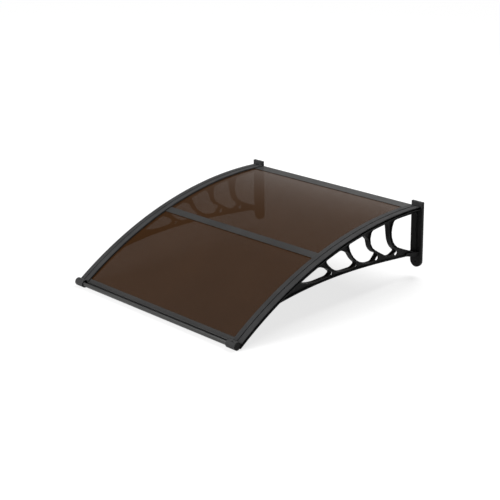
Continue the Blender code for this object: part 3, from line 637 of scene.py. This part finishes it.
@dataclass(frozen=True)
class CoatedAluminium(Finish):
    """Dark grey coated aluminium, drawn along the wall's direction.

    Args:
        metallic: how much of the metal shows through the coat.
        specular: how much the coat mirrors.
        drawing: the drawn lines' scale along and across the bars.
        line_height: the lines' height.
    """

    name: str = "dark coated aluminium"
    shade: Triple = (0.034, 0.0335, 0.033)
    light_shade: Triple = (0.041, 0.040, 0.039)
    cloud_scale: float = 9.0
    cloud_detail: float = 3.0
    smooth: float = 0.38
    dull: float = 0.50
    wear_scale: float = 1.0
    wear_detail: float = 4.0
    grain_scale: float = 1500.0
    grain_height: float = 0.000006
    metallic: float = 0.10
    specular: float = 0.3
    drawing: Triple = (3.0, 700.0, 700.0)
    line_height: float = 0.000010

    def make(self) -> bpy.types.Material:
        """Makes the material.

        Returns:
            The material.
        """
        recipe = self.start(Metallic=self.metallic, Specular_IOR_Level=self.specular)
        drawn = recipe.noise(self.wear_scale, self.wear_detail, recipe.stretched(self.drawing))
        recipe.roughness(drawn, self.smooth, self.dull)
        coat = recipe.noise(self.grain_scale, detail=1.0)
        recipe.bumps([(drawn, self.line_height), (coat, self.grain_height)])
        return recipe.material


@dataclass(frozen=True)
class SmokedSheet(Finish):
    """Smoked brown see-through plastic sheet with a polished, slightly wavy surface.

    Args:
        alpha: how much each of its two faces holds back.
        specular: how much it mirrors.
        mirrored_tint: colour of what it mirrors straight on.
        waves: the waves' scale along each axis.
    """

    name: str = "smoked brown sheet"
    shade: Triple = (0.037, 0.0155, 0.0050)
    light_shade: Triple = (0.041, 0.0175, 0.0060)
    cloud_scale: float = 5.0
    cloud_detail: float = 2.0
    smooth: float = 0.055
    dull: float = 0.12
    wear_scale: float = 11.0
    wear_detail: float = 5.0
    grain_scale: float = 1.0
    grain_height: float = 0.00012
    alpha: float = 0.865
    specular: float = 0.56
    mirrored_tint: Triple = (1.0, 0.62, 0.34)
    waves: Triple = (4.5, 7.0, 7.0)

    def make(self) -> bpy.types.Material:
        """Makes the material.

        Returns:
            The material.
        """
        recipe = self.start(Alpha=self.alpha, Specular_IOR_Level=self.specular)
        recipe.set(Specular_Tint=(*self.mirrored_tint, 1.0))
        self.wear(recipe)
        waves = recipe.noise(self.grain_scale, detail=1.0, places=recipe.stretched(self.waves))
        recipe.bumps([(waves, self.grain_height)])
        return recipe.material


@dataclass(frozen=True)
class SealRubber(Finish):
    """Matt black rubber of the gaskets.

    Args:
        specular: how much it mirrors.
    """

    name: str = "black seal rubber"
    shade: Triple = (0.008, 0.008, 0.008)
    light_shade: Triple = (0.014, 0.014, 0.014)
    cloud_scale: float = 120.0
    cloud_detail: float = 4.0
    smooth: float = 0.65
    dull: float = 0.85
    wear_scale: float = 300.0
    wear_detail: float = 3.0
    grain_scale: float = 2200.0
    grain_height: float = 0.00002
    specular: float = 0.3

    def make(self) -> bpy.types.Material:
        """Makes the material.

        Returns:
            The material.
        """
        recipe = self.start(Specular_IOR_Level=self.specular)
        self.wear(recipe)
        recipe.bumps([(recipe.noise(self.grain_scale, detail=2.0), self.grain_height)])
        return recipe.material


@dataclass(frozen=True)
class BlackenedSteel(Finish):
    """Blackened steel of the screws.

    Args:
        metallic: how much of the metal shows.
    """

    name: str = "blackened screw steel"
    shade: Triple = (0.030, 0.030, 0.031)
    light_shade: Triple = (0.055, 0.054, 0.054)
    cloud_scale: float = 700.0
    cloud_detail: float = 3.0
    smooth: float = 0.28
    dull: float = 0.42
    wear_scale: float = 900.0
    wear_detail: float = 2.0
    grain_scale: float = 3000.0
    grain_height: float = 0.000008
    metallic: float = 0.85

    def make(self) -> bpy.types.Material:
        """Makes the material.

        Returns:
            The material.
        """
        recipe = self.start(Metallic=self.metallic)
        self.wear(recipe)
        recipe.bumps([(recipe.noise(self.grain_scale, detail=2.0), self.grain_height)])
        return recipe.material


@dataclass
class Finishes:
    """The materials of the awning, each made once."""

    made: dict[Slot, bpy.types.Material] = field(default_factory=dict)

    def mix(self) -> None:
        """Makes every material."""
        self.made = {
            Slot.PLASTIC: MouldedPlastic().make(),
            Slot.ALUMINIUM: CoatedAluminium().make(),
            Slot.SHEET: SmokedSheet().make(),
            Slot.RUBBER: SealRubber().make(),
            Slot.STEEL: BlackenedSteel().make(),
        }

    def coat_model(self) -> None:
        """Gives each node of the model the material of its slot."""
        for item in frame["record"]["subparts"]:
            materials = frame["nodes"][item["node"]].data.materials
            materials.clear()
            materials.append(self.made[Slot(item["material_slot"])])

    def dress(self, piece: bpy.types.Object, slot: Slot, *nodes: str) -> bpy.types.Object:
        """Gives a finished piece its material and its place in the model.

        Args:
            piece: the piece.
            slot: the slot that it takes its finish from.
            *nodes: the model's nodes that it stands for.

        Returns:
            The piece.
        """
        piece.data.materials.clear()
        piece.data.materials.append(self.made[slot])
        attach(piece, ROOT)
        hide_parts(*nodes)
        LOG.info("%s: %d faces", piece.name, len(piece.data.polygons))
        return piece


@dataclass
class Roof:
    """The two sheets of the roof and the rubber that seals them.

    Args:
        shape: the roof's arc.
        finishes: the materials.
        sheet_half: half of the sheets' width.
        sheet_top: offset of their upper side.
        sheet_under: offset of their lower side.
        sheet_rounding: rounding of their edges.
        gasket_top: offset of the rubber's upper side.
        gasket_under: offset of its lower side.
        gasket_width: its width.
        gasket_inner: distance of its inner edge from the awning's middle.
        gasket_rounding: rounding of its edges.
        step: the longest stretch between two sections.
    """

    shape: RoofShape
    finishes: Finishes
    sheet_half: float = 0.4417
    sheet_top: float = -0.0062
    sheet_under: float = -0.0102
    sheet_rounding: float = 0.0005
    gasket_top: float = -0.0043
    gasket_under: float = -0.0059
    gasket_width: float = 0.012
    gasket_inner: float = 0.420
    gasket_rounding: float = 0.00055
    step: float = 0.012

    def sheet(self, node: str) -> bpy.types.Object:
        """One sheet.

        Args:
            node: the model's node that it stands for.

        Returns:
            The sheet.
        """
        start, end = self.shape.run(node, self.sheet_top, self.sheet_under)
        middle = self.shape.point(0.0, 0.0, (self.sheet_top + self.sheet_under) / 2)
        thickness = self.sheet_top - self.sheet_under
        piece = Bench.plate(f"{node}_panel", middle, 2 * self.sheet_half, thickness)
        Bench.sweep(piece, self.shape, start, end, self.step)
        Bench.bevel(piece, self.sheet_rounding)
        Bench.smooth(piece)
        return self.finishes.dress(piece, Slot.SHEET, node)

    def gasket(self, side: Side, sheet: str) -> bpy.types.Object:
        """One rubber strip under a cover strip.

        Args:
            side: the end of the awning.
            sheet: rear or front, the sheet that it seals.

        Returns:
            The gasket.
        """
        node = f"{side.prefix}_{sheet}_gasket"
        start, end = self.shape.run(node, self.gasket_top, self.gasket_under)
        x = side.value * (self.gasket_inner + self.gasket_width / 2)
        thickness = self.gasket_top - self.gasket_under
        middle = self.shape.point(x, 0.0, (self.gasket_top + self.gasket_under) / 2)
        piece = Bench.plate(f"{node}_seal", middle, self.gasket_width, thickness)
        Bench.sweep(piece, self.shape, start, end, self.step)
        Bench.bevel(piece, self.gasket_rounding, segments=3)
        Bench.smooth(piece)
        return self.finishes.dress(piece, Slot.RUBBER, node)


@dataclass
class Screw:
    """A pan-head screw with a cross in the head, made once and then copied.

    Args:
        finishes: the materials.
        name: the first screw's name.
        head: radius of the head.
        length: length of the shank.
        shank: radius of the shank.
        head_height: height of the head.
        tip_share: the tip's radius as a share of the shank's.
        rim_share: width of the head's sloping rim as a share of its radius.
        crown_from: share of the radius beyond which the top's edges are rounded.
        crown_share: their rounding as a share of the head's height.
        recess_depth: depth of the cross.
        recess_width: width of its arms.
        recess_share: reach of its arms as a share of the head's radius.
        sides: number of sides of the head.
        first: the screw that is copied, or None before it is made.
    """

    finishes: Finishes
    name: str
    head: float
    length: float
    shank: float = 0.0013
    head_height: float = 0.0014
    tip_share: float = 0.45
    rim_share: float = 0.18
    crown_from: float = 0.9
    crown_share: float = 0.55
    recess_depth: float = 0.0007
    recess_width: float = 0.0006
    recess_share: float = 0.62
    sides: int = 32
    first: bpy.types.Object | None = None

    def make(self) -> None:
        """Makes the first screw along +Z, the seat of its head at the origin."""
        Bench.clear()
        middle = (0.0, 0.0, self.head_height / 2)
        bpy.ops.mesh.primitive_cylinder_add(
            vertices=self.sides, radius=self.head, depth=self.head_height, location=middle
        )
        piece = bpy.context.object
        piece.name = self.name
        Bench.settle(piece)
        Bench.open(piece)
        Bench.select(piece, "FACE", lambda at, normal: normal.z < -FACING)
        bpy.ops.mesh.inset(thickness=self.head - self.shank)
        for part in (self.length - self.shank, self.shank):
            bpy.ops.mesh.extrude_region_move(TRANSFORM_OT_translate={"value": (0.0, 0.0, -part)})
        narrower = (self.tip_share, self.tip_share, 1.0)
        bpy.ops.transform.resize(value=narrower, center_override=(0.0, 0.0, 0.0))
        Bench.select(piece, "FACE", lambda at, normal: normal.z > FACING)
        bpy.ops.mesh.inset(thickness=self.head * self.rim_share)
        self.crown(piece)
        Bench.cut(piece, self.cross())
        Bench.smooth(piece)
        self.first = piece

    def crown(self, piece: bpy.types.Object) -> None:
        """Rounds the rim of the open screw's head.

        Args:
            piece: the screw.
        """
        rim = self.head * self.crown_from

        def on_rim(at: Vector, _: Vector) -> bool:
            """Says whether an edge lies on the head's rim."""
            return abs(at.z - self.head_height) < MERGE and math.hypot(at.x, at.y) > rim

        Bench.select(piece, "EDGE", on_rim)
        bpy.ops.mesh.bevel(offset=self.head_height * self.crown_share, segments=4, affect="EDGES")
        Bench.close()

    def cross(self) -> list[bpy.types.Object]:
        """Cutters of the cross in the head.

        Returns:
            The cutters, one for each arm.
        """
        reach = 2 * self.head * self.recess_share
        arms = []
        for wide, deep in ((reach, self.recess_width), (self.recess_width, reach)):
            Bench.clear()
            bpy.ops.mesh.primitive_cube_add(size=1.0, location=(0.0, 0.0, self.head_height))
            arm = bpy.context.object
            arm.scale = (wide, deep, 2 * self.recess_depth)
            Bench.settle(arm)
            arms.append(arm)
        return arms

    def place(self, node: str, seat: Vector, up: Vector) -> bpy.types.Object:
        """Copies the screw to a place.

        Args:
            node: the model's node that the copy stands for.
            seat: where the underside of the head lies.
            up: the direction of the head.

        Returns:
            The copy.
        """
        piece = bpy.data.objects.new(f"{node}_head", self.first.data.copy())
        bpy.context.scene.collection.objects.link(piece)
        piece.matrix_world = Matrix.Translation(seat) @ up.to_track_quat("Z", "Y").to_matrix().to_4x4()
        Bench.settle(piece)
        return self.finishes.dress(piece, Slot.STEEL, node)

    def put_away(self) -> None:
        """Removes the first screw."""
        bpy.data.objects.remove(self.first)


@dataclass
class CoverStrips:
    """The strips screwed down on the brackets' rails, and their screws.

    Args:
        shape: the roof's arc.
        finishes: the materials.
        screw: the screw that holds them.
        middle_x: the strips' distance from the awning's middle.
        width: their width.
        thickness: their thickness.
        rounding: rounding of their edges.
        groove_width: width of the groove for the screws.
        groove_depth: its depth.
        step: the longest stretch between two sections.
        screw_hole: radius of a screw's hole.
        hole_sides: number of sides of a hole.
        screws: number of screws in a strip.
        screw_margin: distance of the outermost screws from the strip's ends.
        wall_plate: thickness of the wall plates, in front of which the strips begin.
        cap_space: distance of the strips' front ends from the gutter's axis.
    """

    shape: RoofShape
    finishes: Finishes
    screw: Screw
    middle_x: float = 0.445
    width: float = 0.048
    thickness: float = 0.004
    rounding: float = 0.0007
    groove_width: float = 0.006
    groove_depth: float = 0.0025
    step: float = 0.012
    screw_hole: float = 0.0016
    hole_sides: int = 24
    screws: int = 5
    screw_margin: float = 0.030
    wall_plate: float = 0.0127
    cap_space: float = 0.0162

    def screw_angle(self, number: int) -> float:
        """Angle of a screw.

        Args:
            number: the screw's number, counted from the wall.

        Returns:
            The angle from the crest.
        """
        first = self.shape.angle_at(-self.wall_plate) + self.screw_margin / self.shape.radius
        last = self.shape.gutter_angle - (self.cap_space + self.screw_margin) / self.shape.radius
        return first + (last - first) * (number - 1) / (self.screws - 1)

    def strip(self, side: Side) -> bpy.types.Object:
        """One strip with its groove and screw holes.

        Args:
            side: the end of the awning.

        Returns:
            The strip.
        """
        node = f"{side.prefix}_cover_strip"
        start, end = self.shape.run(node, 0.0, -self.thickness)
        x = side.value * self.middle_x
        middle = self.shape.point(x, 0.0, -self.thickness / 2)
        piece = Bench.plate(f"{node}_profile", middle, self.width, self.thickness)
        half_groove = self.groove_width / 2
        floor = self.shape.point(x, 0.0, -self.groove_depth)
        for place, normal in (
            (floor, (0.0, 0.0, 1.0)),
            (floor - Vector((half_groove, 0.0, 0.0)), (1.0, 0.0, 0.0)),
            (floor + Vector((half_groove, 0.0, 0.0)), (1.0, 0.0, 0.0)),
        ):
            bpy.ops.mesh.select_all(action="SELECT")
            bpy.ops.mesh.bisect(plane_co=place, plane_no=normal)
        Bench.select(piece, "FACE", lambda at, _: abs(at.x - x) < half_groove and at.z > floor.z)
        bpy.ops.mesh.delete(type="FACE")
        Bench.sweep(piece, self.shape, start, end, self.step)
        Bench.bevel(piece, self.rounding, segments=3)
        Bench.cut(piece, [self.hole(side, number) for number in range(1, self.screws + 1)])
        Bench.smooth(piece)
        return self.finishes.dress(piece, Slot.PLASTIC, node)

    def hole(self, side: Side, number: int) -> bpy.types.Object:
        """Cutter of a screw's hole through a strip.

        Args:
            side: the end of the awning.
            number: the screw's number, counted from the wall.

        Returns:
            The cutter.
        """
        angle = self.screw_angle(number)
        middle = self.shape.point(side.value * self.middle_x, angle, -self.thickness)
        up = self.shape.up(angle)
        return Bench.rod("hole", middle, up, self.screw_hole, 2 * self.thickness, self.hole_sides)

    def fasten(self, side: Side) -> None:
        """Puts a strip's screws into its groove.

        Args:
            side: the end of the awning.
        """
        for number in range(1, self.screws + 1):
            angle = self.screw_angle(number)
            seat = self.shape.point(side.value * self.middle_x, angle, CLEARANCE - self.groove_depth)
            self.screw.place(f"{side.prefix}_strip_screw_{number}", seat, self.shape.up(angle))


@dataclass
class EndCaps:
    """The round caps over the gutter's ends, and their screws.

    Args:
        shape: the roof's arc.
        finishes: the materials.
        screw: the screw that holds them.
        radius: outer radius.
        bore: radius of the bore for the gutter tube.
        wall: thickness of the closed end.
        end_rim: width of the raised rim around the closed end.
        end_step: depth of the end's middle below the rim.
        end_ring: width of the ring inside the rim.
        rounding: rounding of the edges.
        sides: number of sides.
        screw_x: distance of the screw from the awning's middle.
        screw_degrees: the screw's angle about the gutter's axis, from straight ahead.
        screw_sink: depth of the screw's seat.
        screw_hole: its radius.
        hole_sides: its number of sides.
    """

    shape: RoofShape
    finishes: Finishes
    screw: Screw
    radius: float = 0.0158
    bore: float = 0.0116
    wall: float = 0.0045
    end_rim: float = 0.0030
    end_step: float = 0.0007
    end_ring: float = 0.0006
    rounding: float = 0.0009
    sides: int = 96
    screw_x: float = 0.445
    screw_degrees: float = 105.0
    screw_sink: float = 0.0018
    screw_hole: float = 0.0033
    hole_sides: int = 32

    def screw_up(self) -> Vector:
        """Direction of a cap screw's head.

        Returns:
            The direction, out of the cap.
        """
        lean = math.radians(self.screw_degrees)
        angle = self.shape.gutter_angle
        ahead = Vector((0.0, -math.cos(angle), -math.sin(angle)))
        return ahead * math.cos(lean) + self.shape.up(angle) * math.sin(lean)

    def screw_point(self, side: Side, radius: float) -> Vector:
        """Point of a cap's screw at a distance from the gutter's axis."""
        axis = self.shape.gutter_axis
        return Vector((side.value * self.screw_x, axis.y, axis.z)) + self.screw_up() * radius

    def cap(self, side: Side) -> bpy.types.Object:
        """One cap with its bore and its screw's seat.

        Args:
            side: the end of the awning.

        Returns:
            The cap.
        """
        node = f"{side.prefix}_end_cap"
        low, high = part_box(node)
        length = high[0] - low[0]
        axis = self.shape.gutter_axis
        middle = Vector(((low[0] + high[0]) / 2, axis.y, axis.z))
        outward = Vector((side.value, 0.0, 0.0))
        piece = Bench.rod(f"{node}_cover", middle, outward, self.radius, length, self.sides)
        Bench.open(piece)
        Bench.select(piece, "FACE", lambda at, normal: normal.dot(outward) < -FACING)
        bpy.ops.mesh.inset(thickness=self.radius - self.bore)
        depth = (length - self.wall) * side.value
        bpy.ops.mesh.extrude_region_move(TRANSFORM_OT_translate={"value": (depth, 0.0, 0.0)})

        def on_end(at: Vector, normal: Vector) -> bool:
            """Says whether a face is the closed end's outer one."""
            return normal.dot(outward) > FACING and abs(at.x) > abs(middle.x)

        Bench.select(piece, "FACE", on_end)
        bpy.ops.mesh.inset(thickness=self.end_rim)
        step = -self.end_step * side.value
        bpy.ops.mesh.extrude_region_move(TRANSFORM_OT_translate={"value": (step, 0.0, 0.0)})
        bpy.ops.mesh.inset(thickness=self.end_ring)
        Bench.close()
        Bench.bevel(piece, self.rounding, segments=3, degrees=40.0)
        seat, up = self.screw_point(side, self.radius), self.screw_up()
        tool = Bench.rod("seat", seat, up, self.screw_hole, 2 * self.screw_sink, self.hole_sides)
        Bench.cut(piece, [tool])
        Bench.smooth(piece)
        return self.finishes.dress(piece, Slot.PLASTIC, node)

    def fasten(self, side: Side) -> None:
        """Puts a cap's screw into its seat."""
        seat = self.screw_point(side, self.radius - self.screw_sink + CLEARANCE)
        self.screw.place(f"{side.prefix}_cap_screw", seat, self.screw_up())


@dataclass
class Frame:
    """The brackets and the bars between them, rounded from the model's own solids.

    Args:
        finishes: the materials.
        bracket_rounding: rounding of the brackets' edges.
        bar_rounding: rounding of the bars' edges.
    """

    finishes: Finishes
    bracket_rounding: float = 0.0007
    bar_rounding: float = 0.0003

    def rounded(self, node: str, name: str, slot: Slot, width: float) -> bpy.types.Object:
        """A node of the model with rounded edges.

        Args:
            node: the model's node.
            name: the piece's name.
            slot: its finish.
            width: width of the rounding.

        Returns:
            The piece.
        """
        piece = Bench.merged_copy(node, name)
        Bench.bevel(piece, width, degrees=40.0)
        Bench.smooth(piece, degrees=30.0)
        return self.finishes.dress(piece, slot, node)

    def bracket(self, side: Side) -> bpy.types.Object:
        """One wall bracket."""
        node = f"{side.prefix}_bracket"
        return self.rounded(node, f"{node}_moulding", Slot.PLASTIC, self.bracket_rounding)

    def bars(self) -> None:
        """The bars between the brackets."""
        for node in ("front_bar", "middle_bar", "rear_bar"):
            self.rounded(node, f"{node}_extrusion", Slot.ALUMINIUM, self.bar_rounding)


@dataclass(frozen=True)
class Lamp:
    """A soft square lamp.

    Args:
        name: its name.
        place: where it hangs.
        size: its side.
        watts: its power.
    """

    name: str
    place: Triple
    size: float
    watts: float

    def hang(self, target: Triple) -> None:
        """Hangs the lamp, facing a point."""
        data = bpy.data.lights.new(self.name, "AREA")
        data.shape = "SQUARE"
        data.size = self.size
        data.energy = self.watts
        lamp = bpy.data.objects.new(self.name, data)
        lamp.location = self.place
        away = Vector(target) - Vector(self.place)
        lamp.rotation_euler = away.to_track_quat("-Z", "Y").to_euler()
        bpy.context.scene.collection.objects.link(lamp)


@dataclass(frozen=True)
class Studio:
    """The camera, the floor and the light.

    Args:
        eye: the camera's place.
        yaw: its turn from the wall's normal.
        pitch: how far it looks down.
        roll: its turn about the line of sight.
        lens: its focal length in millimetres.
        frame_width: width of its frame in millimetres.
        sight: how far it sees.
        middle: the point that the lamps face, above the floor's middle.
        floor_half: half of the floor's width.
        floor_gap: its distance below the awning.
        floor_colour: its grey.
        floor_glow: how brightly it is seen near its middle.
        floor_far_glow: how brightly it is seen far away.
        floor_near: distance from its middle at which the glow begins to rise.
        floor_far: distance at which it no longer rises.
        sky_level: level of the sky's light.
        mirrored_fall: how fast the mirrored sky darkens from the horizon upward.
        lamps: the lamps.
    """

    eye: Triple = (3.3273, -3.6646, 1.4781)
    yaw: float = 0.810148
    pitch: float = 0.341168
    roll: float = 0.018938
    lens: float = 87.942
    frame_width: float = 36.0
    sight: float = 200.0
    middle: Triple = (0.0, -0.5, -0.1)
    floor_half: float = 40.0
    floor_gap: float = 0.0004
    floor_colour: float = 0.26
    floor_glow: float = 0.76
    floor_far_glow: float = 0.97
    floor_near: float = 0.9
    floor_far: float = 3.0
    sky_level: float = 0.09
    mirrored_fall: float = 2.6
    lamps: tuple[Lamp, ...] = (
        Lamp("key", (-1.4, -3.6, 2.2), 2.2, 115.0),
        Lamp("top", (0.2, 1.4, 2.8), 2.4, 145.0),
        Lamp("front", (-0.8, -4.2, 0.6), 1.6, 45.0),
    )

    def camera(self) -> None:
        """Puts the camera in its place."""
        sin_yaw, cos_yaw = math.sin(self.yaw), math.cos(self.yaw)
        sin_pitch, cos_pitch = math.sin(self.pitch), math.cos(self.pitch)
        ahead = Vector((-sin_yaw * cos_pitch, cos_yaw * cos_pitch, -sin_pitch))
        level = Vector((cos_yaw, sin_yaw, 0.0))
        down = ahead.cross(level)
        right = math.cos(self.roll) * level + math.sin(self.roll) * down
        under = math.cos(self.roll) * down - math.sin(self.roll) * level
        camera = bpy.data.objects.new("camera", bpy.data.cameras.new("camera"))
        turn = Matrix((right, -under, -ahead)).transposed().to_4x4()
        camera.matrix_world = Matrix.Translation(self.eye) @ turn
        camera.data.lens = self.lens
        camera.data.sensor_width = self.frame_width
        camera.data.clip_end = self.sight
        bpy.context.scene.collection.objects.link(camera)
        bpy.context.scene.camera = camera

    @staticmethod
    def seen_directly(tree: bpy.types.NodeTree) -> bpy.types.NodeSocket:
        """Says of a ray whether it shows the background: seen, mirrored or through glass.

        Args:
            tree: the node tree that asks.

        Returns:
            The socket with 1 for such a ray, or 0.
        """
        paths = add_node(tree, "LightPath", {})
        total = paths.outputs["Is Camera Ray"]
        for kind in ("Is Glossy Ray", "Is Transmission Ray"):
            inputs = {0: total, 1: paths.outputs[kind]}
            total = add_node(tree, "Math", inputs, operation="MAXIMUM").outputs[0]
        return total

    def floor_level(self, tree: bpy.types.NodeTree) -> bpy.types.NodeSocket:
        """How brightly the floor is seen, by the distance from its middle.

        Args:
            tree: the floor's node tree.

        Returns:
            The socket with the level, 0 for a ray that only carries light.
        """
        places = add_node(tree, "TexCoord", {}).outputs["Object"]
        away = add_node(tree, "VectorMath", {0: places}, operation="LENGTH").outputs["Value"]
        distances = (self.floor_near, self.floor_far)
        level = moved(tree, away, distances, (self.floor_glow, self.floor_far_glow))
        inputs = {0: self.seen_directly(tree), 1: level}
        return add_node(tree, "Math", inputs, operation="MULTIPLY").outputs[0]

    def floor(self) -> None:
        """Lays the pale floor under the caps."""
        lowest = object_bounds()[0][2] - self.floor_gap
        Bench.clear()
        place = (self.middle[0], self.middle[1], lowest)
        bpy.ops.mesh.primitive_plane_add(size=2 * self.floor_half, location=place)
        piece = bpy.context.object
        piece.name = "floor"
        made = bpy.data.materials.new("pale floor")
        made.use_nodes = True
        tree = made.node_tree
        tree.nodes.clear()
        matt = add_node(tree, "BsdfDiffuse", {"Color": (self.floor_colour,) * 3 + (1.0,)})
        glow = add_node(tree, "Emission", {"Strength": self.floor_level(tree)})
        both = add_node(tree, "AddShader", {0: matt.outputs[0], 1: glow.outputs[0]})
        add_node(tree, "OutputMaterial", {"Surface": both.outputs[0]})
        piece.data.materials.append(made)
        piece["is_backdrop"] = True

    def mirrored_level(self, tree: bpy.types.NodeTree) -> bpy.types.NodeSocket:
        """Level of the mirrored sky, white at the horizon and dark overhead.

        Args:
            tree: the world's node tree.

        Returns:
            The socket with the level.
        """
        places = add_node(tree, "TexCoord", {}).outputs["Generated"]
        height = add_node(tree, "SeparateXYZ", {0: places}).outputs["Z"]
        inputs = {0: moved(tree, height, (0.0, 1.0), (1.0, 0.0)), 1: self.mirrored_fall}
        return add_node(tree, "Math", inputs, operation="POWER").outputs[0]

    def sky(self) -> None:
        """Fills the studio with dim light, seen as white and mirrored darker overhead."""
        world = bpy.data.worlds.new("studio")
        bpy.context.scene.world = world
        world.use_nodes = True
        tree = world.node_tree
        tree.nodes.clear()
        paths = add_node(tree, "LightPath", {})
        level, special = self.sky_level, self.mirrored_level(tree)
        for kind in ("Is Glossy Ray", "Is Camera Ray", "Is Transmission Ray"):
            inputs = {0: paths.outputs[kind], 2: level, 3: special}
            level = add_node(tree, "Mix", inputs, data_type="FLOAT").outputs[0]
            special = 1.0
        light = add_node(tree, "Background", {"Strength": level})
        add_node(tree, "OutputWorld", {"Surface": light.outputs[0]})

    def build(self) -> None:
        """Builds the studio."""
        self.camera()
        self.floor()
        self.sky()
        for lamp in self.lamps:
            lamp.hang(self.middle)
        bpy.context.scene.view_settings.view_transform = "Standard"


def main() -> None:
    """Builds the scene around the model."""
    logging.basicConfig(level=logging.INFO, format="%(message)s")
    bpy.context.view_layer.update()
    Studio().build()
    shape = RoofShape()
    finishes = Finishes()
    finishes.mix()
    finishes.coat_model()
    roof = Roof(shape, finishes)
    roof.sheet("rear_sheet")
    roof.sheet("front_sheet")
    strip_screw = Screw(finishes, "strip_screw_model", head=0.0026, length=0.0095)
    cap_screw = Screw(finishes, "cap_screw_model", head=0.0030, length=0.0276)
    strip_screw.make()
    cap_screw.make()
    strips = CoverStrips(shape, finishes, strip_screw)
    caps = EndCaps(shape, finishes, cap_screw)
    structure = Frame(finishes)
    for side in Side:
        roof.gasket(side, "rear")
        roof.gasket(side, "front")
        strips.strip(side)
        caps.cap(side)
        structure.bracket(side)
        strips.fasten(side)
        caps.fasten(side)
    structure.bars()
    strip_screw.put_away()
    cap_screw.put_away()


if __name__ == "__main__":
    main()
